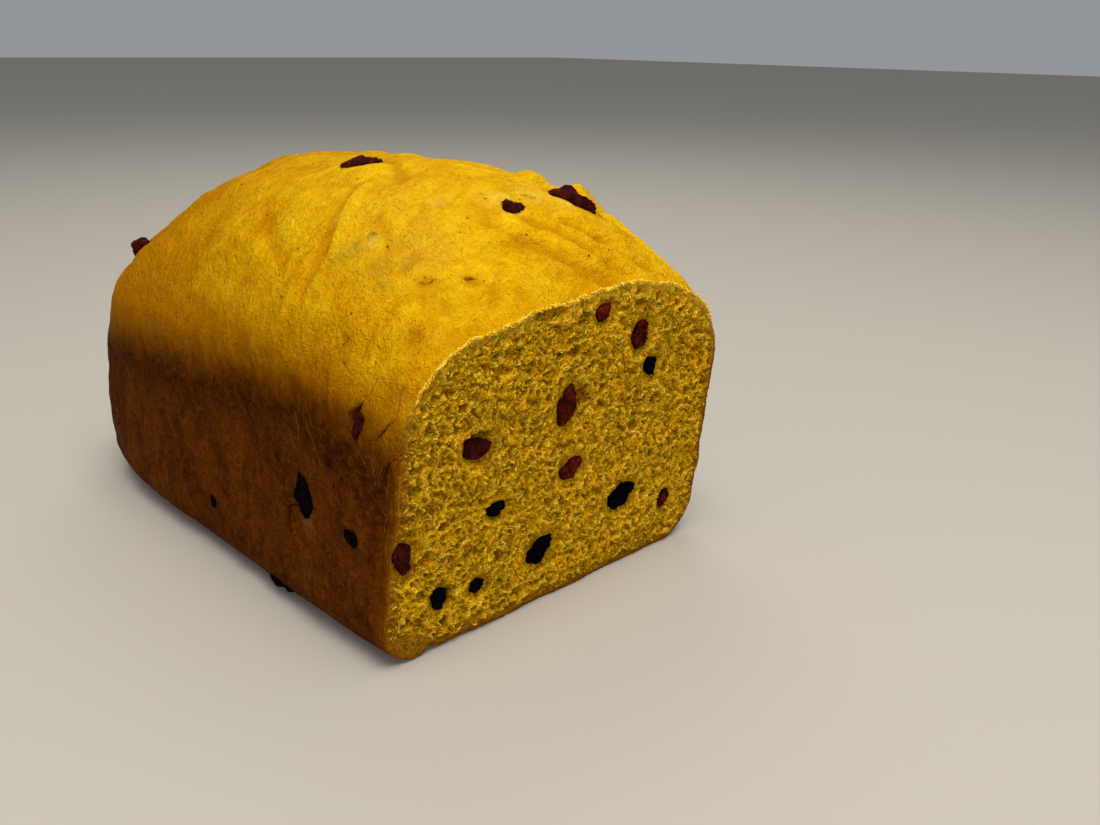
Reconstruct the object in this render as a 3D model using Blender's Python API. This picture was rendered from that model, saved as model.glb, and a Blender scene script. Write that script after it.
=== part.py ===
"""Pumpkin bread: a loaf baked in a tin, with dried cranberries and raisins in it, cut at one end.

The whole loaf is shaped first, as it left the tin, and the knife then takes its +X end off.
Metres, +Z up. The origin is on the table under the middle of what is left of the loaf.
+X points out of the cut face, and -Y is the long side that faces a viewer who sees the cut face.
"""

import math
import random

import bpy
import numpy as np
from mathutils import Matrix, Vector, noise
from mathutils.bvhtree import BVHTree

MM = 0.001

# The tin: its width, its depth to the rim, and the length that the loaf has at the rim.
TIN_WIDTH = 115 * MM
RIM_HEIGHT = 67 * MM
RIM_LENGTH = 202 * MM
TIN_CENTRE_X = 18.4 * MM
PLAN_SQUARENESS = 5.5

# How the walls depart from the tin's plain sides.
BOTTOM_EDGE_RADIUS = 12 * MM
FOOT_SPREAD = 1.8 * MM
WAIST = 0.5 * MM
END_SWELL = 13.4 * MM
END_ROLL = 13.8 * MM
END_FULLEST = 0.49

# The dome that rose above the rim, and the rounded shoulder that it has towards the ends.
DOME_RISE = 46 * MM
DOME_LEAN = 1.2 * MM
LENGTHWISE_FLATNESS = 3.8
LENGTHWISE_FALL = 1.5
CROSSWISE_FLATNESS = 2.1
CROSSWISE_FALL = 0.61
SHOULDER_DROP = 13 * MM
SHOULDER_START = 0.72
SHOULDER_REACH = 5

# The knife's face: where it crosses the loaf's middle at half height, and how it leans.
CUT_X = 92.2 * MM
CUT_MID_HEIGHT = 50 * MM
CUT_OVERHANG = 0.126
CUT_SKEW = 0.0137
CUT_WAVE = 0.5 * MM
CUT_WAVE_LENGTH = 14 * MM
CUT_CELLS = 16
KNIFE_HALF_WIDTH = 88 * MM
KNIFE_MID_HEIGHT = 62.3 * MM
KNIFE_DEPTH = 60 * MM

# The grid that the crust is made from.
CELLS_LONG = 46
CELLS_WIDE = 26
CELLS_HIGH = 10
BOTTOM_CROWDING = 1.6

# Unevenness of the crust: slow swells, and lumps half as wide as a finger.
SWELL_HEIGHT = 1.4 * MM
SWELL_LENGTH = 48 * MM
LUMP_HEIGHT = 0.7 * MM
LUMP_LENGTH = 17 * MM

# Humps and hollows of the dome: plan place x and y, reach and height, all in millimetres.
DOME_HUMPS = {
    "fold beside the large cranberry": (56.7, 19.5, 4.9, 3.0),
    "gap between the two folds": (61, 24.2, 3.8, -2.3),
    "fold behind the large cranberry": (64.5, 29.1, 6.2, 4.7),
    "dip beyond the folds": (72, 36.5, 2.7, -1.5),
    "dip along the far shoulder": (82.9, 39.1, 6.1, -1.1),
    "hollow across the middle": (5, -14, 18, -1.2),
    "hollow near the cut": (84, -6, 22, -1.0),
}

# Dents of the near side where the crust tore: place x and z, half width, half height and depth.
SIDE_TEARS = {
    "tear round the upright raisin": (55, 34, 7, 12, 1.4),
    "tear at the rim by the cut": (80, 62, 5, 9, 1.2),
}

# Creases of the base that open on the cut face: place y, reach and depth.
BASE_CREASES = {
    "crease beside the near foot": (-43.5, 2.4, 3.2),
    "raised base beside the crease": (-34, 9, 1.1),
}
CREASE_LENGTH = 16 * MM

# Dried fruit: segments round, rings from end to end, and the room that it has in its pocket.
FRUIT_SEGMENTS = 9
FRUIT_RINGS = 6
FRUIT_WRINKLE = 0.12
FRUIT_TAPER = 0.22
POCKET_GAP = 0.45 * MM
BASE_CLEARANCE = 0.2 * MM

# The fruit that shows. Each has its side of the loaf, its place there, its half length, half
# width and half thickness, its turn in degrees and how far its middle is sunk, in millimetres.
# The place is x, y on the dome, x, z on the near side, and y, z on the cut face.
PLACED_FRUIT = {
    "cranberry_crest": ("dome", 21, -13, 6.2, 3.6, 2.8, 45, 0.4),
    "cranberry_fold": ("dome", 71.5, 19.5, 6.9, 4.2, 3.8, 60, 0.4),
    "cranberry_slope": ("dome", 72.3, -2.8, 3.2, 2.4, 2.2, 50, 0.9),
    "cranberry_shoulder": ("dome", -53, -45.5, 3.4, 3.0, 2.8, 20, -0.6),
    "cranberry_rim": ("near_side", 78.4, 63.6, 5.4, 1.4, 1.5, 76, 1.1),
    "raisin_tear": ("near_side", 53.5, 36.5, 7.8, 3.3, 2.8, -81, 0.7),
    "raisin_low": ("near_side", 74.9, 33, 3.3, 2.6, 1.9, 20, 0.6),
    "raisin_far": ("near_side", 4.4, 19, 2.8, 2.1, 1.7, 80, 0.4),
    "raisin_foot": ("near_side", 37, 4.2, 6.8, 2.9, 2.2, 0, 0.8),
    "cranberry_cut_top": ("cut", 6, 81.4, 2.5, 2.0, 2.0, 35, 0.6),
    "cranberry_cut_high": ("cut", 21.6, 73, 4.0, 2.6, 2.2, 80, 0.6),
    "raisin_cut_high": ("cut", 27.8, 62.4, 3.0, 1.9, 1.9, -65, 0.6),
    "cranberry_cut_middle": ("cut", -3.5, 58, 5.4, 2.9, 2.6, 76, 0.8),
    "cranberry_cut_left": ("cut", -32.8, 54.1, 4.1, 2.7, 2.4, 0, 0.9),
    "raisin_cut_slit": ("cut", -24.8, 34.9, 2.4, 1.5, 1.5, 10, 0.6),
    "cranberry_cut_edge": ("cut", -53, 31.1, 4.4, 2.0, 2.0, -72, 0.7),
    "raisin_cut_low": ("cut", -41.4, 14.8, 3.1, 2.0, 2.0, -80, 0.7),
    "raisin_cut_base": ("cut", -29, 13.8, 2.3, 1.9, 1.9, 0, 0.7),
}

# Fruit on the sides that face away, and low on the cut face: how many, and the place's ranges.
SPREAD_FRUIT = {
    "cut": (4, (-12, 44), (9, 40)),
    "far_side": (5, (-66, 74), (12, 56)),
    "dome": (3, (-58, 40), (24, 42)),
    "end": (3, (-36, 36), (16, 50)),
    "base": (4, (-66, 74), (-36, 36)),
}
SPREAD_APART = 15
SPREAD_HALF_LENGTH = (2.6, 5.4)
SPREAD_SEED = 8

CRUST_COLOUR = (0.60, 0.33, 0.03, 1)
CRANBERRY_COLOUR = (0.16, 0.02, 0.02, 1)
RAISIN_COLOUR = (0.02, 0.016, 0.018, 1)


def clear_scene():
    """Empties the file's startup scene."""
    for obj in list(bpy.data.objects):
        bpy.data.objects.remove(obj)


def matte(name, colour, roughness):
    """A plain material with the part's colour and roughness."""
    material = bpy.data.materials.new(name)
    material.use_nodes = True
    surface = material.node_tree.nodes["Principled BSDF"]
    surface.inputs["Base Color"].default_value = colour
    surface.inputs["Roughness"].default_value = roughness
    surface.inputs["Metallic"].default_value = 0.0
    return material


def mesh_object(name, points, faces, material=None):
    """An object in the scene, made of these points and faces."""
    mesh = bpy.data.meshes.new(name)
    mesh.from_pydata([tuple(p) for p in points], [], faces)
    mesh.shade_smooth()
    obj = bpy.data.objects.new(name, mesh)
    bpy.context.scene.collection.objects.link(obj)
    if material:
        mesh.materials.append(material)
    return obj


def as_cutter(obj):
    """Marks a shape that only cuts others."""
    obj.hide_render = True
    obj.display_type = "WIRE"
    return obj


def subtract(obj, cutter):
    """Cuts a shape, or every shape of a collection, out of an object."""
    cut = obj.modifiers.new("cut_" + cutter.name, "BOOLEAN")
    cut.operation = "DIFFERENCE"
    cut.solver = "EXACT"
    if isinstance(cutter, bpy.types.Collection):
        cut.operand_type = "COLLECTION"
        cut.collection = cutter
    else:
        cut.object = cutter


def grain(points, length, seed):
    """Smooth noise from -1 to 1 at each point, with features about one length across."""
    shift = Vector((seed, 2 * seed, 3 * seed))
    return np.array([noise.noise(Vector(p) / length + shift) for p in points])


def bottom_edge_inset(z):
    """How far the rounded bottom edge draws a wall in at height z."""
    below = 1 - np.clip(z / BOTTOM_EDGE_RADIUS, 0, 1)
    return BOTTOM_EDGE_RADIUS * (1 - np.sqrt(1 - below**2))


def half_width(z):
    """Half the loaf's width at height z, up to the rim."""
    up = z / RIM_HEIGHT
    spread = FOOT_SPREAD * (1 - up)
    return TIN_WIDTH / 2 + spread - WAIST * np.sin(math.pi * up) - bottom_edge_inset(z)


def half_length(z):
    """Half the whole loaf's length at height z: the ends swell out, then roll over to the dome."""
    up = z / RIM_HEIGHT
    swell = END_SWELL * (1 - (1 - np.clip(up / END_FULLEST, 0, 1)) ** 2)
    roll = END_ROLL * np.clip((up - END_FULLEST) / (1 - END_FULLEST), 0, 1) ** 2
    return RIM_LENGTH / 2 + swell - roll - bottom_edge_inset(z)


def into_outline(a, b):
    """Moves points of a square, from -1 to 1 each way, into the tin's outline with round corners."""
    ring = np.maximum(np.abs(a), np.abs(b))
    ring = np.where(ring > 0, ring, 1)
    spread = np.abs(a / ring) ** PLAN_SQUARENESS + np.abs(b / ring) ** PLAN_SQUARENESS
    corner = np.maximum(spread, 1) ** (-1 / PLAN_SQUARENESS)
    return a * corner, b * corner


def dome_share(along, across):
    """Share of the dome's rise at a plan place given in shares of the rim's half sizes."""
    outline = np.clip(1 - np.abs(along) ** PLAN_SQUARENESS, 1e-9, 1) ** (1 / PLAN_SQUARENESS)
    lengthwise = np.clip(1 - np.abs(along) ** LENGTHWISE_FLATNESS, 0, 1) ** LENGTHWISE_FALL
    sideways = np.clip(np.abs(across) / outline, 0, 1)
    return lengthwise * (1 - sideways**CROSSWISE_FLATNESS) ** CROSSWISE_FALL


def shoulder_drop(along, ring):
    """How much lower the crust runs near the rim where the dough rounded over towards the ends."""
    edge = np.clip((ring - SHOULDER_START) / (1 - SHOULDER_START), 0, 1)
    return SHOULDER_DROP * np.abs(along) ** SHOULDER_REACH * (1 - np.sqrt(1 - edge**2))


def hump_height(x, y):
    """The named humps and hollows of the dome, added up."""
    total = np.zeros_like(x)
    for hump_x, hump_y, reach, height in DOME_HUMPS.values():
        distance = np.hypot(x - hump_x * MM, y - hump_y * MM) / (reach * MM)
        total += height * MM * np.exp(-(distance**2))
    return total


def tear_depth(x, z):
    """The named tears of the near side, added up."""
    total = np.zeros_like(x)
    for tear_x, tear_z, half_wide, half_high, depth in SIDE_TEARS.values():
        distance = np.hypot((x - tear_x * MM) / (half_wide * MM), (z - tear_z * MM) / (half_high * MM))
        total += depth * MM * np.exp(-(distance**2))
    return total


def crease_height(x, y):
    """How far the base is lifted off the table in its creases."""
    total = np.zeros_like(x)
    from_cut = np.clip((CUT_X - x) / CREASE_LENGTH, 0, 1)
    for crease_y, reach, depth in BASE_CREASES.values():
        total += depth * MM * np.exp(-(((y - crease_y * MM) / (reach * MM)) ** 2))
    return total * (1 - from_cut)


def crust_grid():
    """A box-shaped grid's outside: its corner numbers (i, j, k), and its faces."""
    size = (CELLS_LONG, CELLS_WIDE, CELLS_HIGH)
    number = {}
    for i in range(CELLS_LONG + 1):
        for j in range(CELLS_WIDE + 1):
            for k in range(CELLS_HIGH + 1):
                if any(step in (0, last) for step, last in zip((i, j, k), size)):
                    number[i, j, k] = len(number)

    faces = []
    for fixed in range(3):
        first, second = (fixed + 1) % 3, (fixed + 2) % 3
        for side in (0, size[fixed]):
            for p in range(size[first]):
                for q in range(size[second]):
                    square = []
                    for dp, dq in ((0, 0), (1, 0), (1, 1), (0, 1)):
                        corner = [0, 0, 0]
                        corner[fixed] = side
                        corner[first] = p + dp
                        corner[second] = q + dq
                        square.append(number[tuple(corner)])
                    faces.append(square if side else square[::-1])
    return np.array(list(number)), faces


def loaf_points(corners):
    """Moves the grid's corners onto the whole loaf, with its swells, folds and tears."""
    a = 2 * corners[:, 0] / CELLS_LONG - 1
    b = np.sin(math.pi / 2 * (2 * corners[:, 1] / CELLS_WIDE - 1))
    up = (corners[:, 2] / CELLS_HIGH) ** BOTTOM_CROWDING
    on_top = corners[:, 2] == CELLS_HIGH
    along, across = into_outline(a, b)
    ring = np.maximum(np.abs(a), np.abs(b))

    wall_z = up * (RIM_HEIGHT - shoulder_drop(along, np.ones_like(ring)))
    top_z = RIM_HEIGHT - shoulder_drop(along, ring)
    rise = np.where(on_top, dome_share(along, across), 0)
    x = TIN_CENTRE_X + along * half_length(np.where(on_top, RIM_HEIGHT, up * RIM_HEIGHT))
    y = across * half_width(np.where(on_top, RIM_HEIGHT, up * RIM_HEIGHT)) + DOME_LEAN * rise
    z = np.where(on_top, top_z, wall_z) + DOME_RISE * rise
    points = np.stack([x, y, z], axis=1)

    out = np.stack([along * (1 - rise), across * (1 - rise), rise], axis=1)
    out /= np.maximum(np.linalg.norm(out, axis=1, keepdims=True), 1e-9)
    swell = SWELL_HEIGHT * grain(points, SWELL_LENGTH, 3)
    lump = LUMP_HEIGHT * grain(points, LUMP_LENGTH, 7)
    off_table = np.clip(z / BOTTOM_EDGE_RADIUS, 0, 1)
    points += out * ((swell + lump) * off_table)[:, None]

    points[:, 2] += np.where(on_top, hump_height(x, y) * np.clip(3 * rise, 0, 1), 0)
    on_near_side = across < -0.9
    points[:, 1] += np.where(on_near_side, tear_depth(x, z), 0)
    points[:, 2] += crease_height(x, y) * (1 - off_table)
    return points


def cut_x(y, z):
    """Where the knife's flat face is, before its waves."""
    return CUT_X + CUT_OVERHANG * (z - CUT_MID_HEIGHT) + CUT_SKEW * y


def knife_block():
    """What the knife took away: a block whose face towards the loaf is slightly wavy."""
    steps = np.linspace(-KNIFE_HALF_WIDTH, KNIFE_HALF_WIDTH, CUT_CELLS + 1)
    points = []
    for back in (0, KNIFE_DEPTH):
        for z in steps + KNIFE_MID_HEIGHT:
            for y in steps:
                wave = CUT_WAVE * noise.noise(Vector((y, z, 0)) / CUT_WAVE_LENGTH)
                points.append((cut_x(y, z) + wave + back, y, z))
    row = CUT_CELLS + 1
    layer = row * row
    faces = []
    for j in range(CUT_CELLS):
        for i in range(CUT_CELLS):
            p = j * row + i
            faces.append((p, p + row, p + row + 1, p + 1))
            faces.append((p + layer, p + layer + 1, p + layer + row + 1, p + layer + row))
    rim = [i for i in range(row)]
    rim += [j * row + CUT_CELLS for j in range(1, row)]
    rim += [CUT_CELLS * row + i for i in range(CUT_CELLS - 1, -1, -1)]
    rim += [j * row for j in range(CUT_CELLS - 1, 0, -1)]
    for p, q in zip(rim, rim[1:] + rim[:1]):
        faces.append((p, q, q + layer, p + layer))
    return as_cutter(mesh_object("knife_block", points, faces))


def surface_spot(crust, side, p, q):
    """The point of the crust at a place on one side of the loaf, and the outward direction there."""
    p = p * MM
    q = q * MM
    if side == "cut":
        return Vector((cut_x(p, q), p, q)), Vector((1, -CUT_SKEW, -CUT_OVERHANG)).normalized()
    if side == "base":
        return Vector((p, q, 0)), Vector((0, 0, -1))
    from_outside = {
        "dome": (Vector((p, q, 1)), Vector((0, 0, -1))),
        "near_side": (Vector((p, -1, q)), Vector((0, 1, 0))),
        "far_side": (Vector((p, 1, q)), Vector((0, -1, 0))),
        "end": (Vector((-1, p, q)), Vector((1, 0, 0))),
    }
    start, towards = from_outside[side]
    spot, outward, _, _ = crust.ray_cast(start, towards)
    return spot, outward


def fruit_points(spot, outward, half_sizes, turn, sunk, extra, seed):
    """A wrinkled lump, flattened and narrower at one end, set into the surface."""
    level = Vector((1, 0, 0)) if abs(outward.x) < 0.7 else Vector((0, 1, 0))
    level = (level - outward * level.dot(outward)).normalized()
    turned = Matrix.Rotation(math.radians(turn), 3, outward)
    lengthwise = turned @ level
    widthwise = outward.cross(lengthwise)
    middle = spot - outward * sunk * MM
    long, wide, thick = (size * MM + extra for size in half_sizes)
    points = []
    for ring in range(FRUIT_RINGS + 1):
        polar = math.pi * ring / FRUIT_RINGS
        copies = 1 if ring in (0, FRUIT_RINGS) else FRUIT_SEGMENTS
        for segment in range(copies):
            around = 2 * math.pi * (segment + ring / 2) / FRUIT_SEGMENTS
            across = math.sin(polar)
            way = Vector((math.cos(polar), across * math.cos(around), across * math.sin(around)))
            wrinkle = 1 + FRUIT_WRINKLE * noise.noise(way * 2.1 + Vector((seed, 0, 0)))
            slim = wrinkle * (1 - FRUIT_TAPER * way.x)
            point = middle + lengthwise * way.x * long * wrinkle
            point += widthwise * way.y * wide * slim
            point += outward * way.z * thick * slim
            points.append(point)
    return points


def fruit_faces():
    """The faces of a fruit: a fan at each end, and bands between."""
    def at(ring, segment):
        return 1 + (ring - 1) * FRUIT_SEGMENTS + segment % FRUIT_SEGMENTS

    last = 1 + (FRUIT_RINGS - 1) * FRUIT_SEGMENTS
    faces = []
    for s in range(FRUIT_SEGMENTS):
        faces.append((0, at(1, s), at(1, s + 1)))
        faces.append((last, at(FRUIT_RINGS - 1, s + 1), at(FRUIT_RINGS - 1, s)))
        for ring in range(1, FRUIT_RINGS - 1):
            faces.append((at(ring, s), at(ring + 1, s), at(ring, s + 1)))
            faces.append((at(ring, s + 1), at(ring + 1, s), at(ring + 1, s + 1)))
    return faces


def spread_fruit():
    """Fruit of mixed sizes, spread by a seeded draw over the sides that face away."""
    draw = random.Random(SPREAD_SEED)
    spread = {}
    for side, (count, p_range, q_range) in SPREAD_FRUIT.items():
        places = []
        while len(places) < count:
            p = draw.uniform(*p_range)
            q = draw.uniform(*q_range)
            if all(math.hypot(p - u, q - v) > SPREAD_APART for u, v in places):
                places.append((p, q))
        for number, (p, q) in enumerate(places, 1):
            kind = "cranberry" if number % 2 else "raisin"
            long = draw.uniform(*SPREAD_HALF_LENGTH)
            wide = long * draw.uniform(0.55, 0.8)
            thick = 0.8 * wide
            turn = draw.uniform(0, 180)
            spread[f"{kind}_{side}_{number}"] = (side, p, q, long, wide, thick, turn, 0.25 * thick)
    return spread


def build_fruit(crust, knife, pockets):
    """Every dried fruit, with the pocket that it leaves in the crumb."""
    cranberry = matte("cranberry", CRANBERRY_COLOUR, 0.35)
    raisin = matte("raisin", RAISIN_COLOUR, 0.4)
    faces = fruit_faces()
    everything = {**PLACED_FRUIT, **spread_fruit()}
    for seed, (name, fruit) in enumerate(everything.items()):
        side, p, q, long, wide, thick, turn, sunk = fruit
        spot, outward = surface_spot(crust, side, p, q)
        shape = (spot, outward, (long, wide, thick), turn, sunk)
        points = fruit_points(*shape, 0, seed)
        for point in points:
            point.z = max(point.z, BASE_CLEARANCE)
        lump = mesh_object(name, points, faces, cranberry if "cranberry" in name else raisin)
        if side == "cut":
            subtract(lump, knife)
        pocket = as_cutter(mesh_object("pocket_" + name, fruit_points(*shape, POCKET_GAP, seed), faces))
        bpy.context.scene.collection.objects.unlink(pocket)
        pockets.objects.link(pocket)


def main():
    clear_scene()
    corners, faces = crust_grid()
    points = loaf_points(corners)
    crust = BVHTree.FromPolygons([tuple(p) for p in points], faces)
    loaf = mesh_object("loaf", points, faces, matte("crust", CRUST_COLOUR, 0.6))
    knife = knife_block()
    subtract(loaf, knife)
    pockets = bpy.data.collections.new("pockets")
    bpy.context.scene.collection.children.link(pockets)
    build_fruit(crust, knife, pockets)
    subtract(loaf, pockets)


main()
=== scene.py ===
import math

import bmesh
import bpy
import numpy as np
from mathutils import Matrix, Vector, noise
from mathutils.bvhtree import BVHTree


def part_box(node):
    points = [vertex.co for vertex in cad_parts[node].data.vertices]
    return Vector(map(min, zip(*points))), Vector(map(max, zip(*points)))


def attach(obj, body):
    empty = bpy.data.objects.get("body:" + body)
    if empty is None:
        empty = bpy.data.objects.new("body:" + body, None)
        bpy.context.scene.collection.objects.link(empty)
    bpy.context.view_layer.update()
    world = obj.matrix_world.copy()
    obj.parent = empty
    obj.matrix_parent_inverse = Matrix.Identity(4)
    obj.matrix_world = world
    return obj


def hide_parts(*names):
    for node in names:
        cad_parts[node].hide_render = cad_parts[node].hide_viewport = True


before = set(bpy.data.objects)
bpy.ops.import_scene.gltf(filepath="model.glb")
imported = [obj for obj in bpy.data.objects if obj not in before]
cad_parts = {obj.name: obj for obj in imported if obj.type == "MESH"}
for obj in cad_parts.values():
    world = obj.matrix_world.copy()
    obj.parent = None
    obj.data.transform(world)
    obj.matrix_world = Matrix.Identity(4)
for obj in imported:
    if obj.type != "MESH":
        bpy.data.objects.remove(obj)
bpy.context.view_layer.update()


# The table and the light
# The loaf stands on a plain pale table top under one broad, soft light from above, which grazes
# the cut face, so that the dome is bright and the crumb shows its relief in mild shade.

MM = 0.001
TABLE_HALF = 6.0
TABLE_COLOUR = (0.50, 0.46, 0.40, 1)
SKY_COLOUR = (0.80, 0.85, 0.88, 1)
SKY_STRENGTH = 0.36


def mesh_piece(name, points, faces, materials=()):
    """An object in the scene made of these points and faces, shaded smooth."""
    mesh = bpy.data.meshes.new(name)
    mesh.from_pydata([tuple(p) for p in points], [], faces)
    mesh.shade_smooth()
    for material in materials:
        mesh.materials.append(material)
    piece = bpy.data.objects.new(name, mesh)
    bpy.context.scene.collection.objects.link(piece)
    return piece


def new_material(name):
    """A material with its node tree and its shader."""
    material = bpy.data.materials.new(name)
    material.use_nodes = True
    tree = material.node_tree
    return material, tree, tree.nodes["Principled BSDF"]


table_finish, _, table_shader = new_material("pale_table")
table_shader.inputs["Base Color"].default_value = TABLE_COLOUR
table_shader.inputs["Roughness"].default_value = 0.8
table_shader.inputs["Specular IOR Level"].default_value = 0.1
table = mesh_piece(
    "table",
    [(TABLE_HALF * x, TABLE_HALF * y, -0.2 * MM) for x, y in ((-1, -1), (1, -1), (1, 1), (-1, 1))],
    [(0, 1, 2, 3)],
    [table_finish],
)

world = bpy.data.worlds.new("soft_room")
bpy.context.scene.world = world
world.use_nodes = True
sky = world.node_tree.nodes["Background"]
sky.inputs["Color"].default_value = SKY_COLOUR
sky.inputs["Strength"].default_value = SKY_STRENGTH

LAMPS = {
    "overhead": ((0.42, -0.20, 1.10), 0.75, 12.5, (1.0, 0.97, 0.92)),
    "window": ((0.95, -0.60, 0.50), 0.5, 2.6, (1.0, 0.99, 0.97)),
    "back": ((-0.55, 0.45, 0.90), 0.6, 2.2, (1.0, 0.98, 0.95)),
}
for lamp_name, (place, size, power, tint) in LAMPS.items():
    lamp = bpy.data.lights.new(lamp_name, "AREA")
    lamp.shape = "SQUARE"
    lamp.size = size
    lamp.energy = power
    lamp.color = tint
    lamp_object = bpy.data.objects.new(lamp_name, lamp)
    lamp_object.location = place
    lamp_object.rotation_euler = (-Vector(place)).to_track_quat("-Z", "Y").to_euler()
    bpy.context.scene.collection.objects.link(lamp_object)


# The camera
# It looks down on the corner between the cut face and the long side, from about 30 cm away, so
# that the loaf is seen steeply and its far end draws in.

CAMERA_FOCUS = 1000
PHOTO_WIDTH = 1100
SENSOR_WIDTH = 36
CAMERA_AIM = Vector((61.8, 21.5, 41.5)) * MM
CAMERA_DISTANCE = 296.5 * MM
CAMERA_TURN = math.radians(45.0)
CAMERA_PITCH = math.radians(20.5)
CAMERA_ROLL = math.radians(0.99)

ahead = Vector((
    -math.sin(CAMERA_TURN) * math.cos(CAMERA_PITCH),
    math.cos(CAMERA_TURN) * math.cos(CAMERA_PITCH),
    -math.sin(CAMERA_PITCH),
))
level_right = ahead.cross(Vector((0, 0, 1))).normalized()
level_up = level_right.cross(ahead)
right = level_right * math.cos(CAMERA_ROLL) + level_up * math.sin(CAMERA_ROLL)
upward = level_up * math.cos(CAMERA_ROLL) - level_right * math.sin(CAMERA_ROLL)
camera_data = bpy.data.cameras.new("camera")
camera_data.sensor_fit = "HORIZONTAL"
camera_data.sensor_width = SENSOR_WIDTH
camera_data.lens = SENSOR_WIDTH * CAMERA_FOCUS / PHOTO_WIDTH
camera_data.clip_start = 0.01
camera = bpy.data.objects.new("camera", camera_data)
camera.matrix_world = Matrix.Translation(CAMERA_AIM - ahead * CAMERA_DISTANCE) @ Matrix(
    (right, upward, -ahead)
).transposed().to_4x4()
bpy.context.scene.collection.objects.link(camera)
bpy.context.scene.camera = camera
bpy.context.scene.view_settings.view_transform = "Standard"


# The dried fruit
# Cranberries and raisins, dried and wrinkled, that the dough closed round while it proved. The
# crust tore open over some of them, and the knife went through those in the cut face.

CRANBERRY_SKIN = (0.020, 0.0025, 0.0022, 1)
CRANBERRY_LIGHT = (0.10, 0.010, 0.006, 1)
CRANBERRY_CUT = (0.20, 0.017, 0.003, 1)
RAISIN_SKIN = (0.0018, 0.0014, 0.0018, 1)
RAISIN_LIGHT = (0.006, 0.004, 0.005, 1)
FRUIT_SWELL = 0.30 * MM
FRUIT_LUMP = 1.1 * MM
FRUIT_LUMP_LENGTH = 3.0 * MM
FRUIT_FOLD_DEPTH = 0.45 * MM
FRUIT_FOLD_LENGTH = 1.6 * MM
FRUIT_FOLD_SLOPE = 5
LARGE_FRUIT = 6.5 * MM
CUT_FRUIT_LUMP = 0.35
GRAZED_FRUIT = ("cranberry_cut_left", "cranberry_cut_edge")
CUT_FRUIT_SKEW = 1.0 * MM
FRUIT_FLOOR = 0.1 * MM
CRANBERRY_SPECULAR = 0.012
RAISIN_SPECULAR = 0.002
FRUIT_ROUGHNESS = (0.5, 0.28)
FRUIT_BUMP = (0.6, 0.22 * MM)


def feed(tree, socket, value):
    """Gives a socket a value, or a link from another node's output."""
    if isinstance(value, bpy.types.NodeSocket):
        tree.links.new(value, socket)
    else:
        socket.default_value = value


def linked(tree, kind, inputs=(), **settings):
    """A node with its settings, fed by values or by other nodes' outputs."""
    node = tree.nodes.new(kind)
    for name, value in settings.items():
        setattr(node, name, value)
    for name, value in dict(inputs).items():
        feed(tree, node.inputs[name], value)
    return node


def blend(tree, share, first, second):
    """A colour that goes from first to second with share."""
    node = linked(tree, "ShaderNodeMix", {0: share, 6: first, 7: second}, data_type="RGBA")
    return node.outputs[2]


def ramp(tree, value, low, high):
    """A share that rises smoothly from 0 at low to 1 at high."""
    inputs = {"Value": value, "From Min": low, "From Max": high}
    return linked(tree, "ShaderNodeMapRange", inputs, interpolation_type="SMOOTHSTEP").outputs["Result"]


def sum_of(tree, operation, first, second=0.0, third=0.0):
    """The result of one sum on two or three values."""
    inputs = {0: first, 1: second, 2: third}
    return linked(tree, "ShaderNodeMath", inputs, operation=operation).outputs[0]


def graded(tree, share, first, second):
    """A value that goes from first to second with share."""
    inputs = {"Value": share, "To Min": first, "To Max": second}
    return linked(tree, "ShaderNodeMapRange", inputs).outputs["Result"]


def coated(tree, shader, colour, roughness, specular, height, bumpiness):
    """Gives the shader its colour and its shine, and a normal raised by height."""
    strength, distance = bumpiness
    bump = linked(tree, "ShaderNodeBump", {"Height": height, "Strength": strength, "Distance": distance})
    inputs = {"Base Color": colour, "Roughness": roughness, "Specular IOR Level": specular}
    for name, value in (inputs | {"Normal": bump.outputs["Normal"]}).items():
        feed(tree, shader.inputs[name], value)


def open_group(name, inputs, outputs):
    """An empty shader group with named sockets, and its two ends."""
    group = bpy.data.node_groups.new(name, "ShaderNodeTree")
    for label, value in inputs.items():
        kind = "NodeSocketVector" if isinstance(value, tuple) else "NodeSocketFloat"
        group.interface.new_socket(label, in_out="INPUT", socket_type=kind).default_value = value
    for label in outputs:
        group.interface.new_socket(label, in_out="OUTPUT", socket_type="NodeSocketFloat")
    return group, group.nodes.new("NodeGroupInput").outputs, group.nodes.new("NodeGroupOutput").inputs


def use_group(tree, group, inputs):
    """The outputs of one use of a group in a material, with its own values."""
    return linked(tree, "ShaderNodeGroup", inputs, node_tree=group).outputs


# Grain is noise of one size, which can be stretched along an axis and swirled. Share leans to 0
# or 1 with Contrast, and Ridge is 1 along thin crooked lines.
grain, grain_in, grain_out = open_group(
    "grain",
    {"Size": 0.002, "Stretch": (1, 1, 1), "Swirl": 0.0, "Roughness": 0.5, "Contrast": 0.25, "Shift": 0.0},
    ("Share", "Ridge"),
)
grain_place = linked(grain, "ShaderNodeTexCoord").outputs["Object"]
grain_drawn = linked(
    grain, "ShaderNodeVectorMath", {0: grain_place, 1: grain_in["Stretch"]}, operation="DIVIDE"
)
grain_settings = {
    "Vector": grain_drawn.outputs[0],
    "W": grain_in["Shift"],
    "Scale": sum_of(grain, "DIVIDE", 1.0, grain_in["Size"]),
    "Detail": 3.0,
    "Roughness": grain_in["Roughness"],
    "Distortion": grain_in["Swirl"],
}
grain_value = linked(grain, "ShaderNodeTexNoise", grain_settings, noise_dimensions="4D").outputs["Fac"]
grain_low = sum_of(grain, "SUBTRACT", 0.5, grain_in["Contrast"])
grain_high = sum_of(grain, "ADD", 0.5, grain_in["Contrast"])
feed(grain, grain_out["Share"], ramp(grain, grain_value, grain_low, grain_high))
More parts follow.
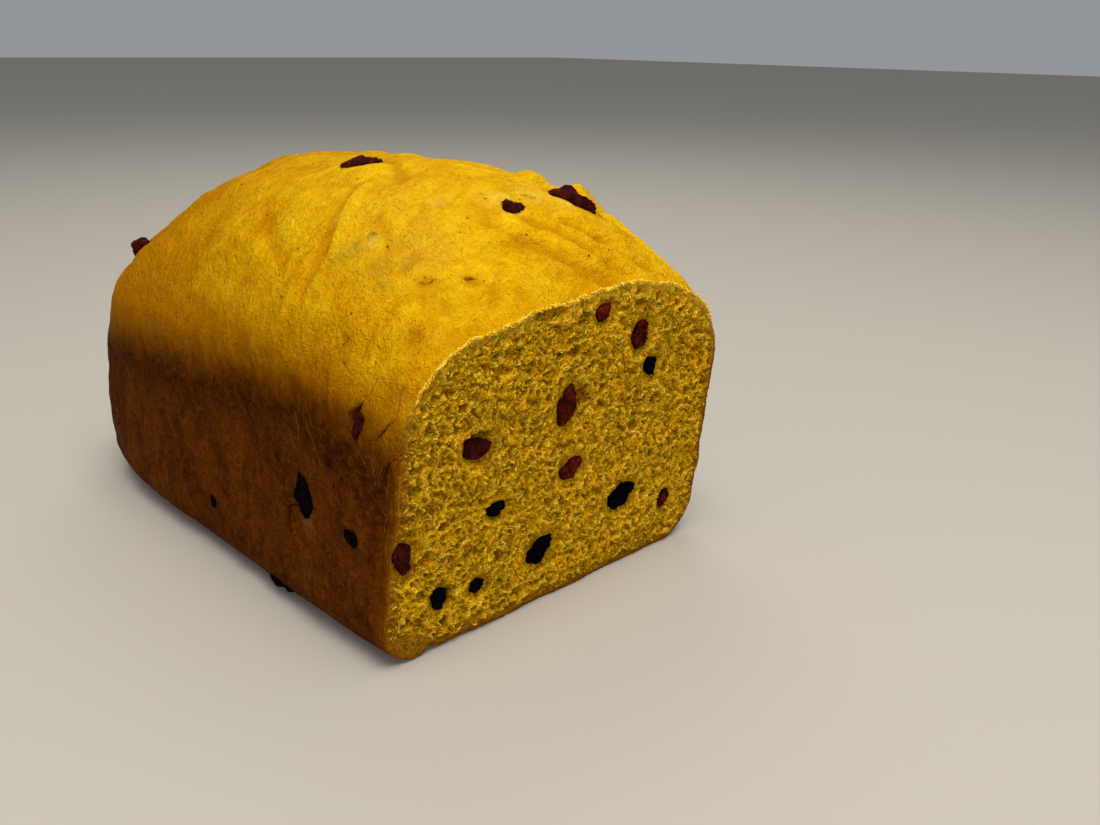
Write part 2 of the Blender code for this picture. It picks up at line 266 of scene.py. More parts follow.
grain_off_line = sum_of(grain, "ABSOLUTE", sum_of(grain, "SUBTRACT", grain_value, 0.5))
feed(grain, grain_out["Ridge"], ramp(grain, grain_off_line, grain_in["Contrast"], 0.0))


def grain_of(tree, size, stretch=(1, 1, 1), swirl=0.0, roughness=0.5, contrast=0.25, shift=0.0):
    """The share and the ridge that one use of the grain group gives, with its size in millimetres."""
    values = {"Size": size * MM, "Stretch": stretch, "Swirl": swirl}
    values |= {"Roughness": roughness, "Contrast": contrast, "Shift": shift}
    outputs = use_group(tree, grain, values)
    return outputs["Share"], outputs["Ridge"]


def fruit_finish(name, skin, light, specular):
    """Dried skin: dark in its folds, lighter where it is thin, and slightly glossy."""
    material, tree, shader = new_material(name)
    patches, _ = grain_of(tree, 2.4, contrast=0.18, shift=1)
    fine, folds = grain_of(tree, 0.8, swirl=0.5, contrast=0.3, shift=2)
    colour = blend(tree, sum_of(tree, "MULTIPLY", patches, fine), skin, light)
    height = sum_of(tree, "SUBTRACT", fine, folds)
    coated(tree, shader, colour, graded(tree, patches, *FRUIT_ROUGHNESS), specular, height, FRUIT_BUMP)
    return material


fruit_looks = {
    "cranberry": fruit_finish("dried_cranberry", CRANBERRY_SKIN, CRANBERRY_LIGHT, CRANBERRY_SPECULAR),
    "cranberry_cut": fruit_finish("cut_cranberry", CRANBERRY_SKIN, CRANBERRY_CUT, CRANBERRY_SPECULAR),
    "raisin": fruit_finish("raisin_skin", RAISIN_SKIN, RAISIN_LIGHT, RAISIN_SPECULAR),
}


def evaluated_copy(source):
    """The mesh of an object with its modifiers worked out."""
    graph = bpy.context.evaluated_depsgraph_get()
    return bpy.data.meshes.new_from_object(source.evaluated_get(graph))


def point_array(mesh, values, name):
    """One vector for each of the mesh's points, as an array."""
    array = np.empty(3 * len(mesh.vertices))
    values.foreach_get(name, array)
    return array.reshape(-1, 3)


def noise_at(points, lengths, seed):
    """Smooth noise from -1 to 1 at each point, with features about one length across."""
    shift = Vector((seed, 2 * seed, 3 * seed))
    scaled = points / np.asarray(lengths)
    return np.array([noise.noise(Vector(p) + shift) for p in scaled])


def dried_fruit(node, solid):
    """The wrinkled fruit of one node, grown from the node's own solid."""
    kind = node.split("_")[0]
    shape = bmesh.new()
    shape.from_mesh(solid.data)
    bmesh.ops.remove_doubles(shape, verts=shape.verts, dist=0.01 * MM)
    mesh = bpy.data.meshes.new("dried_" + node)
    shape.to_mesh(mesh)
    shape.free()
    piece = bpy.data.objects.new("dried_" + node, mesh)
    bpy.context.scene.collection.objects.link(piece)
    low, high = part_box(node)
    smooth = piece.modifiers.new("round", "SUBSURF")
    smooth.levels = smooth.render_levels = 3 if max(high - low) > LARGE_FRUIT else 2
    piece.data = evaluated_copy(piece)
    piece.modifiers.clear()
    points = point_array(piece.data, piece.data.vertices, "co")
    normals = point_array(piece.data, piece.data.vertex_normals, "vector")
    folds = np.clip(1 - FRUIT_FOLD_SLOPE * np.abs(noise_at(points, FRUIT_FOLD_LENGTH, 0)), 0, 1)
    lumps = noise_at(points, FRUIT_LUMP_LENGTH, 17)
    cut_through = "_cut" in node
    lump = FRUIT_LUMP * (CUT_FRUIT_LUMP if cut_through else 1)
    out = FRUIT_SWELL + lump * lumps - FRUIT_FOLD_DEPTH * folds
    points += normals * out[:, None]
    if cut_through:
        points[:, 1] += CUT_FRUIT_SKEW * noise_at(points, FRUIT_LUMP_LENGTH, 5)
        points[:, 2] += CUT_FRUIT_SKEW * noise_at(points, FRUIT_LUMP_LENGTH, 6)
    points[:, 2] = np.maximum(points[:, 2], FRUIT_FLOOR)
    piece.data.vertices.foreach_set("co", points.ravel())
    piece.data.materials.clear()
    shows_flesh = kind == "cranberry" and cut_through and node not in GRAZED_FRUIT
    piece.data.materials.append(fruit_looks["cranberry_cut" if shows_flesh else kind])
    piece.data.shade_smooth()
    piece.data.update()
    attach(piece, "root")
    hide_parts(node)
    return piece


fruit = {
    node: dried_fruit(node, solid)
    for node, solid in sorted(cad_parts.items())
    if node != "loaf"
}


# The loaf
# Yeast dough coloured with pumpkin, baked in a tin: the walls and the base browned against the
# metal, the dome rose above the rim and stayed golden. A knife took the +X end off.

TIN_WIDTH = 115 * MM
RIM_HEIGHT = 67 * MM
RIM_LENGTH = 202 * MM
TIN_CENTRE_X = 18.4 * MM
PLAN_SQUARENESS = 5.5
BOTTOM_EDGE_RADIUS = 12 * MM
FOOT_SPREAD = 1.8 * MM
WAIST = 0.5 * MM
END_SWELL = 13.4 * MM
END_ROLL = 13.8 * MM
END_FULLEST = 0.49
DOME_RISE = 46 * MM
DOME_LEAN = 1.2 * MM
LENGTHWISE_FLATNESS = 3.8
LENGTHWISE_FALL = 1.5
CROSSWISE_FLATNESS = 2.1
CROSSWISE_FALL = 0.61
SHOULDER_DROP = 13 * MM
SHOULDER_START = 0.72
SHOULDER_REACH = 5
CUT_X = 92.2 * MM
CUT_MID_HEIGHT = 50 * MM
CUT_OVERHANG = 0.126
CUT_SKEW = 0.0137
CUT_WAVE = 0.5 * MM
CUT_WAVE_LENGTH = 14 * MM
SWELL_HEIGHT = 1.4 * MM
SWELL_LENGTH = 48 * MM
LUMP_HEIGHT = 0.7 * MM
LUMP_LENGTH = 17 * MM
HUMP_ONSET = 3
NEAR_WALL = -0.9

# Rounded bumps of the whole loaf, in millimetres: their middle, their reach each way and their
# height. The dome's are given along x and y, the near side's along x and z, the base's along y.
DOME_HUMPS = {
    "fold beside the large cranberry": (56.7, 19.5, 4.9, 4.9, 3.0),
    "gap between the two folds": (61, 24.2, 3.8, 3.8, -2.3),
    "fold behind the large cranberry": (64.5, 29.1, 6.2, 6.2, 4.7),
    "dip beyond the folds": (72, 36.5, 2.7, 2.7, -1.5),
    "dip along the far shoulder": (82.9, 39.1, 6.1, 6.1, -1.1),
    "hollow across the middle": (5, -14, 18, 18, -1.2),
    "hollow near the cut": (84, -6, 22, 22, -1.0),
}
SIDE_TEARS = {
    "tear round the upright raisin": (55, 34, 7, 12, 1.4),
    "tear at the rim by the cut": (80, 62, 5, 9, 1.2),
}
BASE_CREASES = {
    "crease beside the near foot": (-43.5, 2.4, 3.2),
    "raised base beside the crease": (-34, 9, 1.1),
}
CREASE_LENGTH = 16 * MM
CREASE_ONSET = 8 * MM

# Finer bumps than the solid has, along x, y and z.
CRUST_MARKS = {
    "flap below the upright raisin": (53.8, -57, 29, 2.6, 4, 4, 1.3),
    "hollow left of the flap": (48.5, -57, 30, 1.6, 7, 7, -0.7),
    "blister in the bare patch": (57.6, -35.7, 98.9, 1.9, 1.5, 1.5, 0.9),
    "dent on the front": (71.1, -35, 95.9, 1.6, 1.2, 1.2, -0.6),
    "second dent on the front": (88, -37, 90, 1.4, 2.4, 2.4, -0.6),
    "third dent on the front": (86, -46, 83, 1.2, 2.6, 2.6, -0.5),
    "long pit near the cut": (78.8, -36.2, 92.4, 1.5, 0.9, 0.9, -1.0),
    "round pit near the cut": (85, -28.3, 92.8, 1.2, 1.2, 1.2, -1.1),
    "pit above the rim": (68.2, -52.1, 79.6, 1.0, 1.2, 1.2, -0.9),
    "pit under the pit above the rim": (71, -54.3, 75.6, 1.0, 1.0, 1.0, -0.6),
    "pit beside the small cranberry": (66, -7, 107.5, 1.5, 1.5, 1.5, -0.8),
    "dent in the stained patch": (62, -17, 107, 4, 3, 3, -0.8),
    "swelling above the small cranberry": (66.5, -3, 108.5, 2.5, 2.5, 2.5, 0.7),
    "swelling under the small cranberry": (75, -7, 103.5, 3.5, 3, 3, 0.6),
}
# Creases (below 0) and folds of the dome, by their paths over it, half width and height.
CRUST_CREASES = {
    "crease on the left of the dome": ([(34, -24), (39, -33), (45, -42), (47, -50)], 1.5, -1.3),
    "fold on the left of the dome": ([(38, -24), (43, -33), (49, -42)], 2.0, 1.0),
    "crease above the bare patch": ([(52, -30), (60, -33), (68, -40)], 1.3, -0.8),
    "sweep over the right of the dome": ([(74, -14), (84, -6), (92, 1), (95, 6)], 1.4, -1.05),
    "second sweep over the right": ([(72, -6), (82, 3), (90, 9), (94, 15)], 1.5, -0.95),
    "third sweep over the right": ([(80, 8), (88, 17), (93, 25)], 1.6, -1.05),
    "fold along the far shoulder": ([(74, 33), (82, 37), (92, 40)], 2.0, 1.0),
    "crease along the middle": ([(10, -2), (28, -8), (44, -16)], 1.8, -0.95),
    "crease at the far end": ([(-52, -30), (-40, -22), (-24, -18)], 2.0, -1.05),
    "crease low on the far end": ([(-60, -46), (-44, -44), (-26, -46)], 1.8, -0.95),
    "crease over the front": ([(8, -36), (24, -44), (34, -46)], 1.6, -0.8),
}

CRUST_CELL = 1.15 * MM
CUT_CROWDING = 0.35
FOOT_CROWDING = 1.3
WRINKLE_HEIGHT = 0.36 * MM
WRINKLE_SPACING = 3.4 * MM
WRINKLE_LENGTH = 12 * MM
WRINKLE_BEND = 3 * MM
DENT_HEIGHT = 0.75 * MM
DENT_LENGTH = 10 * MM
BLISTER_HEIGHT = 0.42 * MM
BLISTER_LENGTH = 4.2 * MM
LIP_HEIGHT = 0.4 * MM
LIP_REACH = 2.0 * MM
LIP_CREST = 0.8
LIP_FADE = 0.35


def bottom_edge_inset(z):
    below = 1 - np.clip(z / BOTTOM_EDGE_RADIUS, 0, 1)
    return BOTTOM_EDGE_RADIUS * (1 - np.sqrt(1 - below**2))


def half_width(z):
    up = z / RIM_HEIGHT
    spread = FOOT_SPREAD * (1 - up)
    return TIN_WIDTH / 2 + spread - WAIST * np.sin(math.pi * up) - bottom_edge_inset(z)


def half_length(z):
    up = z / RIM_HEIGHT
    swell = END_SWELL * (1 - (1 - np.clip(up / END_FULLEST, 0, 1)) ** 2)
    roll = END_ROLL * np.clip((up - END_FULLEST) / (1 - END_FULLEST), 0, 1) ** 2
    return RIM_LENGTH / 2 + swell - roll - bottom_edge_inset(z)


def into_outline(a, b):
    ring = np.maximum(np.abs(a), np.abs(b))
    ring = np.where(ring > 0, ring, 1)
    spread = np.abs(a / ring) ** PLAN_SQUARENESS + np.abs(b / ring) ** PLAN_SQUARENESS
    corner = np.maximum(spread, 1) ** (-1 / PLAN_SQUARENESS)
    return a * corner, b * corner


def dome_share(along, across):
    outline = np.clip(1 - np.abs(along) ** PLAN_SQUARENESS, 1e-9, 1) ** (1 / PLAN_SQUARENESS)
    lengthwise = np.clip(1 - np.abs(along) ** LENGTHWISE_FLATNESS, 0, 1) ** LENGTHWISE_FALL
    sideways = np.clip(np.abs(across) / outline, 0, 1)
    return lengthwise * (1 - sideways**CROSSWISE_FLATNESS) ** CROSSWISE_FALL


def shoulder_drop(along, ring):
    edge = np.clip((ring - SHOULDER_START) / (1 - SHOULDER_START), 0, 1)
    return SHOULDER_DROP * np.abs(along) ** SHOULDER_REACH * (1 - np.sqrt(1 - edge**2))


def bumps(rows, *axes):
    """The summed height of rounded bumps: rows of middles, reaches and a height, in millimetres."""
    total = np.zeros_like(axes[0])
    for row in rows.values():
        reaches = row[len(axes):]
        off = sum(((axis - at * MM) / (reach * MM)) ** 2 for axis, at, reach in zip(axes, row, reaches))
        total += row[-1] * MM * np.exp(-off)
    return total


def box_grid(size):
    """The outside of a box-shaped grid: its corner numbers (i, j, k), and its faces."""
    number = {}
    for i in range(size[0] + 1):
        for j in range(size[1] + 1):
            for k in range(size[2] + 1):
                if i in (0, size[0]) or j in (0, size[1]) or k in (0, size[2]):
                    number[i, j, k] = len(number)
    faces = []
    for fixed in range(3):
        first, second = (fixed + 1) % 3, (fixed + 2) % 3
        for side in (0, size[fixed]):
            for p in range(size[first]):
                for q in range(size[second]):
                    square = []
                    for dp, dq in ((0, 0), (1, 0), (1, 1), (0, 1)):
                        corner = [0, 0, 0]
                        corner[fixed] = side
                        corner[first] = p + dp
                        corner[second] = q + dq
                        square.append(number[tuple(corner)])
                    faces.append(square if side else square[::-1])
    return np.array(list(number)), faces


def path_distance(places, path):
    """The distance from each place to a line through the path's points, all flat on one plane."""
    nearest = np.full(len(places), np.inf)
    for start, end in zip(path, path[1:]):
        start, end = np.array(start) * MM, np.array(end) * MM
        along = end - start
        share = np.clip((places - start) @ along / (along @ along), 0, 1)
        nearest = np.minimum(nearest, np.linalg.norm(places - start - share[:, None] * along, axis=1))
    return nearest


def crust_marks(points):
    """How far small marks and creases of the dome stand out or in."""
    raised = bumps(CRUST_MARKS, *points.T)
    on_dome = np.clip((points[:, 2] - RIM_HEIGHT) / CREASE_ONSET, 0, 1)
    for path, reach, height in CRUST_CREASES.values():
        off_line = path_distance(points[:, :2], path) / (reach * MM)
        raised += height * MM * np.exp(-(off_line**2)) * on_dome
    return raised


def fruit_lips(points):
    """How far the torn crust stands up round each fruit that came through it."""
    raised = np.zeros(len(points))
    for node in fruit:
        if "_cut" in node or "_base" in node:
            continue
        low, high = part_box(node)
        middle = np.array((low + high) / 2)
        reach = np.array((high - low) / 2) + LIP_REACH
        distance = np.linalg.norm((points - middle) / reach, axis=1)
        raised = np.maximum(raised, LIP_HEIGHT * np.exp(-(((distance - LIP_CREST) / LIP_FADE) ** 2)))
    return raised


def fine_relief(points):
    """How far wrinkles, blisters, dents, lips and small marks raise the crust at each point."""
    crosswise = (WRINKLE_SPACING, WRINKLE_LENGTH, WRINKLE_LENGTH)
    bent = points + WRINKLE_BEND * noise_at(points, WRINKLE_LENGTH, 23)[:, None]
    raised = WRINKLE_HEIGHT * noise_at(bent, crosswise, 31)
    raised += BLISTER_HEIGHT * noise_at(points, BLISTER_LENGTH, 41)
    raised += DENT_HEIGHT * noise_at(points, DENT_LENGTH, 47)
    return raised + fruit_lips(points) + crust_marks(points)


def loaf_form(corners, size):
    """Moves the grid's corners onto the whole loaf, with its swells, folds, tears and wrinkles."""
    step = corners[:, 0] / size[0]
    a = 2 * step * (1 + CUT_CROWDING * (1 - step)) - 1
    b = np.sin(math.pi / 2 * (2 * corners[:, 1] / size[1] - 1))
    up = (corners[:, 2] / size[2]) ** FOOT_CROWDING
    on_top = corners[:, 2] == size[2]
    along, across = into_outline(a, b)
    ring = np.maximum(np.abs(a), np.abs(b))
    wall_z = up * (RIM_HEIGHT - shoulder_drop(along, np.ones_like(ring)))
    top_z = RIM_HEIGHT - shoulder_drop(along, ring)
    rise = np.where(on_top, dome_share(along, across), 0)
    level = np.where(on_top, RIM_HEIGHT, up * RIM_HEIGHT)
    x = TIN_CENTRE_X + along * half_length(level)
    y = across * half_width(level) + DOME_LEAN * rise
    z = np.where(on_top, top_z, wall_z) + DOME_RISE * rise
    points = np.stack([x, y, z], axis=1)

    out = np.stack([along * (1 - rise), across * (1 - rise), rise], axis=1)
    out /= np.maximum(np.linalg.norm(out, axis=1, keepdims=True), 1e-9)
    uneven = SWELL_HEIGHT * noise_at(points, SWELL_LENGTH, 3)
    uneven += LUMP_HEIGHT * noise_at(points, LUMP_LENGTH, 7)
    off_table = np.clip(z / BOTTOM_EDGE_RADIUS, 0, 1)
    points += out * (uneven * off_table)[:, None]
    points[:, 2] += np.where(on_top, bumps(DOME_HUMPS, x, y) * np.clip(HUMP_ONSET * rise, 0, 1), 0)
    points[:, 1] += np.where(across < NEAR_WALL, bumps(SIDE_TEARS, x, z), 0)
    near_cut = 1 - np.clip((CUT_X - x) / CREASE_LENGTH, 0, 1)
    points[:, 2] += bumps(BASE_CREASES, y) * near_cut * (1 - off_table)

    points += out * (fine_relief(points) * off_table)[:, None]
    return points


crust_size = (
    round(2 * half_length(END_FULLEST * RIM_HEIGHT) / CRUST_CELL),
    round(TIN_WIDTH / CRUST_CELL),
    round(RIM_HEIGHT / CRUST_CELL),
)
crust_corners, crust_faces = box_grid(crust_size)
whole_points = loaf_form(crust_corners, crust_size)
whole_skin = BVHTree.FromPolygons([tuple(p) for p in whole_points], crust_faces)


# The crust: dark brown just under the tin's rim line, lighter down the walls, golden above it.
CRUST_GOLD = (0.77, 0.372, 0.0008, 1)
CRUST_AMBER = (0.50, 0.19, 0.0006, 1)
CRUST_STRAW = (0.95, 0.605, 0.008, 1)
CRUST_BROWN = (0.32, 0.102, 0.0008, 1)
CRUST_DARK = (0.048, 0.0078, 0.0004, 1)
CRUST_WALL = (0.205, 0.050, 0.0015, 1)
CRUST_FOOT = (0.180, 0.050, 0.0016, 1)
CRUST_BLACK = (0.018, 0.0035, 0.0005, 1)
CUT_SIDE_BROWN = (0.30, 0.092, 0.002, 1)
SPECK_BROWN = (0.16, 0.045, 0.001, 1)
BARE_OLIVE = (0.34, 0.24, 0.025, 1)
BARE_BEIGE = (0.94, 0.62, 0.07, 1)
FLAP_PINK = (0.30, 0.10, 0.025, 1)
PIT_SHADE_BROWN = (0.22, 0.062, 0.001, 1)
BREAD_SPECULAR = 0.004
CRUST_ROUGHNESS = (0.45, 0.6)
CRUST_BUMP = (0.9, 0.45 * MM)

# Where the crust changes from one colour to the next: by its height over the rim line for the
# first five, along the loaf for the next two, and by its relief for the last two. The line
# itself wanders by two grains. The relief lays a painted highlight on crests and painted shade in
# hollows, and the amber low on the dome and towards the far end is partly painted shade.
WALL_FADE = (-4 * MM, -26 * MM)
FOOT_FADE = (-34 * MM, -58 * MM)
BROWN_FADE = (-12 * MM, 5 * MM)
GOLD_FADE = (-5 * MM, 19 * MM)
LOW_DOME_SHADE_FADE = (38 * MM, 10 * MM)
AMBER_AND_SHADE_FADE = (52 * MM, -70 * MM)
DOTTED_FADE = (25 * MM, 70 * MM)
CREST_HIGHLIGHT_RELIEF = (0.08 * MM, 0.75 * MM)
HOLLOW_SHADE_RELIEF = (-0.12 * MM, -0.95 * MM)
LINE_WANDER = {"wander": -5 * MM, "streaks": -4 * MM}

# The crust's grains: size in millimetres, stretch, swirl, roughness, contrast and shift.
EVEN = (1, 1, 1)
CRUST_GRAINS = {
    "wander": (13, EVEN, 0, 0.5, 0.4, 3),
    "streaks": (4, (1, 1.6, 1.6), 0, 0.7, 0.2, 4),
    "blotches": (14, EVEN, 0, 0.6, 0.16, 5),
    "pale": (9, (1, 1.5, 1.5), 0.7, 0.7, 0.12, 6),
    "flakes": (2.6, (1, 1.5, 1.5), 0.9, 0.6, 0.06, 7),
    "soft": (1.6, (1, 1.5, 1.5), 0, 0.65, 0.4, 8),
    "tan": (5, (1, 1.4, 1.4), 0.8, 0.65, 0.09, 8.5),
    "grit": (0.6, EVEN, 0, 0.7, 0.12, 11),
    "dotted": (9, EVEN, 0, 0.5, 0.12, 12),
    "mottle": (8, (1, 1.5, 2.2), 0.5, 0.65, 0.10, 15),
    "wall light": (2.6, EVEN, 0.8, 0.65, 0.09, 16),
    "wall grit": (0.8, EVEN, 0, 0.75, 0.12, 17),
    "wall small": (1.7, EVEN, 0.8, 0.65, 0.09, 19),
    "sweep": (4, (1.2, 3, 1.2), 0.9, 0.7, 0.09, 24),
}

# Specks are small dots, one in some of the cells of a loose pattern, whose places are bent a
# little. The crust has three kinds: spacing in millimetres, radius in spacings and share kept.
CRUST_SPECKS = {"wall": (3.4, 0.20, 0.4), "fine": (1.6, 0.15, 0.5), "large": (5.0, 0.10, 0.5)}
SPECK_BEND = (0.0006, 0.0006, 0.0006)
SPECK_BEND_SCALE = 900.0
specks, specks_in, specks_out = open_group(
    "specks", {"Spacing": 0.002, "Radius": 0.2, "Kept": 0.5}, ("Share",)
)
specks_place = linked(specks, "ShaderNodeTexCoord").outputs["Object"]
specks_bend = linked(specks, "ShaderNodeTexNoise", {"Vector": specks_place, "Scale": SPECK_BEND_SCALE})
specks_bent = linked(
    specks,
    "ShaderNodeVectorMath",
    {0: specks_bend.outputs["Color"], 1: SPECK_BEND, 2: specks_place},
    operation="MULTIPLY_ADD",
)
specks_scale = sum_of(specks, "DIVIDE", 1.0, specks_in["Spacing"])
specks_cells = linked(
    specks, "ShaderNodeTexVoronoi", {"Vector": specks_bent.outputs[0], "Scale": specks_scale}
)
specks_core = sum_of(specks, "MULTIPLY", specks_in["Radius"], 0.5)
specks_dot = ramp(specks, specks_cells.outputs["Distance"], specks_in["Radius"], specks_core)
specks_draw = linked(specks, "ShaderNodeSeparateXYZ", {0: specks_cells.outputs["Color"]}).outputs[0]
specks_chosen = sum_of(specks, "LESS_THAN", specks_draw, specks_in["Kept"])
feed(specks, specks_out["Share"], sum_of(specks, "MULTIPLY", specks_dot, specks_chosen))


def painted(tree, name):
    """A value that the mesh holds at its points."""
    return linked(tree, "ShaderNodeAttribute", attribute_name=name).outputs["Fac"]


def grains_of(tree, table):
    """The shares and the ridges of the grains in a table, both by name."""
    used = [grain_of(tree, *row) for row in table.values()]
    shares, ridges = zip(*used)
    return dict(zip(table, shares)), dict(zip(table, ridges))


def tinted(tree, colour, tints):
    """The colour under some tints: each is a mask, an amount and the colour that it brings."""
    for mask, amount, tint in tints:
        colour = blend(tree, sum_of(tree, "MULTIPLY", mask, amount), colour, tint)
    return colour


def added(tree, total, values):
    """The total with some values added: each is a value and its weight."""
    for value, weight in values:
        total = sum_of(tree, "MULTIPLY_ADD", value, weight, total)
    return total


crust_finish, crust_tree, crust_shader = new_material("crust")
grained, ridged = grains_of(crust_tree, CRUST_GRAINS)
dots = {
    name: use_group(crust_tree, specks, {"Spacing": spacing * MM, "Radius": radius, "Kept": kept})["Share"]
    for name, (spacing, radius, kept) in CRUST_SPECKS.items()
}
crust_place = linked(crust_tree, "ShaderNodeTexCoord").outputs["Object"]
crust_x = linked(crust_tree, "ShaderNodeSeparateXYZ", {0: crust_place}).outputs[0]
line_height = painted(crust_tree, "above_rim_line")
line_wander = [(grained[name], shift) for name, shift in LINE_WANDER.items()]
line_height = added(crust_tree, line_height, line_wander)

wall = blend(crust_tree, ramp(crust_tree, line_height, *WALL_FADE), CRUST_DARK, CRUST_WALL)
foot = sum_of(crust_tree, "MULTIPLY", ramp(crust_tree, line_height, *FOOT_FADE), 0.5)
wall_tints = (
    (grained["blotches"], foot, CRUST_FOOT),
    (grained["mottle"], 0.7, CRUST_DARK),
    (grained["wall light"], 0.65, CRUST_FOOT),
    (grained["wall grit"], 0.42, CRUST_DARK),
    (grained["wall small"], 0.38, CRUST_BLACK),
    (painted(crust_tree, "cut_side"), 0.4, CUT_SIDE_BROWN),
    (painted(crust_tree, "flap"), 0.5, FLAP_PINK),
    (dots["wall"], 0.7, CRUST_BLACK),
)
wall = tinted(crust_tree, wall, wall_tints)

# Amber grows towards the far end, partly the crust's own browning and partly painted shade; low on the
# dome it is painted shade; blotches vary it at random.
low_dome_shade = ramp(crust_tree, line_height, *LOW_DOME_SHADE_FADE)
amber_and_shade = ramp(crust_tree, crust_x, *AMBER_AND_SHADE_FADE)
amber_and_shade = added(crust_tree, amber_and_shade, ((low_dome_shade, 0.4), (grained["blotches"], 0.3)))
fade_pale = sum_of(crust_tree, "MULTIPLY_ADD", amber_and_shade, -0.6, 0.62)
# Painted highlight on the crests of the crust's relief, in straw, and painted shade in its hollows, in
# amber.
relief = painted(crust_tree, "relief")
pale_masks = (grained["sweep"], grained["flakes"], ramp(crust_tree, relief, *CREST_HIGHLIGHT_RELIEF))
pale_sweep, pale_flakes, crest_highlight = (
    sum_of(crust_tree, "MULTIPLY", mask, fade_pale) for mask in pale_masks
)
dotted = sum_of(crust_tree, "MULTIPLY", grained["dotted"], ramp(crust_tree, crust_x, *DOTTED_FADE))
fine_dots = sum_of(crust_tree, "MULTIPLY", dots["fine"], dotted)
all_dots = sum_of(crust_tree, "MAXIMUM", fine_dots, dots["large"])
dome_tints = (
    (grained["pale"], fade_pale, CRUST_STRAW),
    (pale_sweep, 0.5, CRUST_STRAW),
    (grained["tan"], 0.32, CRUST_AMBER),
    (pale_flakes, 0.45, CRUST_STRAW),
    (ridged["flakes"], 0.12, CRUST_STRAW),
    # Painted highlight on the crests.
    (crest_highlight, 0.9, CRUST_STRAW),
    (ramp(crust_tree, relief, *HOLLOW_SHADE_RELIEF), 0.62, CRUST_AMBER),
    (grained["grit"], 0.22, CRUST_AMBER),
    (painted(crust_tree, "browned"), 0.85, CRUST_BROWN),
    (painted(crust_tree, "beige"), 0.8, BARE_BEIGE),
    # Bare patches, with painted shade round the blister.
    (painted(crust_tree, "bare"), 0.9, BARE_OLIVE),
    (all_dots, 0.8, SPECK_BROWN),
)
dome = tinted(crust_tree, blend(crust_tree, amber_and_shade, CRUST_GOLD, CRUST_AMBER), dome_tints)

brown_band = blend(crust_tree, ramp(crust_tree, line_height, *BROWN_FADE), wall, CRUST_BROWN)
on_dome = ramp(crust_tree, line_height, *GOLD_FADE)
crust_colour = blend(crust_tree, on_dome, brown_band, dome)
# Stains in near black, with the painted shadow beside the large cranberry.
crust_colour = blend(crust_tree, painted(crust_tree, "stain_and_shadow"), crust_colour, CRUST_BLACK)
# Painted shade inside pockets and slits: near black on the walls, dark brown on the dome.
opening_shade_colour = blend(crust_tree, on_dome, CRUST_BLACK, PIT_SHADE_BROWN)
crust_colour = blend(crust_tree, painted(crust_tree, "opened"), crust_colour, opening_shade_colour)
crust_weights = (
    (grained["grit"], -0.25),
    (grained["wall grit"], -0.25),
    (grained["wall small"], -0.5),
    (grained["flakes"], 0.35),
    (ridged["flakes"], 0.2),
    (grained["sweep"], 0.6),
    (grained["tan"], -0.4),
    (ridged["wall light"], 0.3),
    (all_dots, -0.8),
)
crust_height = added(crust_tree, grained["soft"], crust_weights)
crust_rough = graded(crust_tree, grained["blotches"], *CRUST_ROUGHNESS)
coated(crust_tree, crust_shader, crust_colour, crust_rough, BREAD_SPECULAR, crust_height, CRUST_BUMP)


# The crumb: torn bubbles with ragged rims and a thin baked skin round the edge of the cut. Painted
# highlight makes the high rims bright, and painted shade makes the bubbles dark in their depths.
CRUMB_DARK_AND_SHADE = (0.15, 0.048, 0.0008, 1)
CRUMB_GOLD = (0.87, 0.438, 0.003, 1)
CRUMB_OLIVE = (0.575, 0.300, 0.003, 1)
CRUMB_PALE_AND_HIGHLIGHT = (0.97, 0.65, 0.045, 1)
SKIN_PALE = (0.98, 0.64, 0.06, 1)
SKIN_BAND = (0.60, 0.31, 0.008, 1)
SKIN_SIDE = (0.27, 0.080, 0.0018, 1)
JUICE_RED = (0.26, 0.045, 0.004, 1)

CRUMB_GRAINS = {
    "patch": (5, EVEN, 0, 0.7, 0.07, 12),
    "fibre": (1.6, EVEN, 1.5, 0.65, 0.045, 13),
    "tip_highlight": (1.6, EVEN, 0.8, 0.7, 0.08, 14),
    "dark": (2.0, EVEN, 1.0, 0.7, 0.08, 18),
    "shaded_gaps": (2.0, EVEN, 1.4, 0.65, 0.028, 27),
}
CRUMB_ROUGHNESS = (0.7, 0.9)
CRUMB_BUMP = (1.0, 0.30 * MM)

# Where the crumb changes: by its height over the crumb round it for the first three, by how far
# it lies below the flat cut, by its height over the rim line, and by its depth under the skin. The
# first four lay painted shade in gaps, low places and depths, and a painted highlight on high tips.
GAP_SHADE_HEIGHTS = (0.25 * MM, -0.1 * MM)
TIP_HIGHLIGHT_HEIGHTS = (0.05 * MM, 0.45 * MM)
LOW_SHADE_HEIGHTS = (-0.05 * MM, -0.5 * MM)
DEEP_SHADE_FADE = (-0.9 * MM, -2.8 * MM)
DOME_FADE = (0.0, 26 * MM)
SKIN_THREAD_FADE = (5 * MM, 2 * MM)
EDGE_FADE = (1.1 * MM, 0.45 * MM)
BAND_REACH = 5.2 * MM
BAND_LOSS_ON_DOME = -2.4 * MM
BAND_CORE = 0.45

crumb_finish, crumb_tree, crumb_shader = new_material("crumb")
grained, ridged = grains_of(crumb_tree, CRUMB_GRAINS)
local = painted(crumb_tree, "local_height")
skin_depth = painted(crumb_tree, "skin_depth")
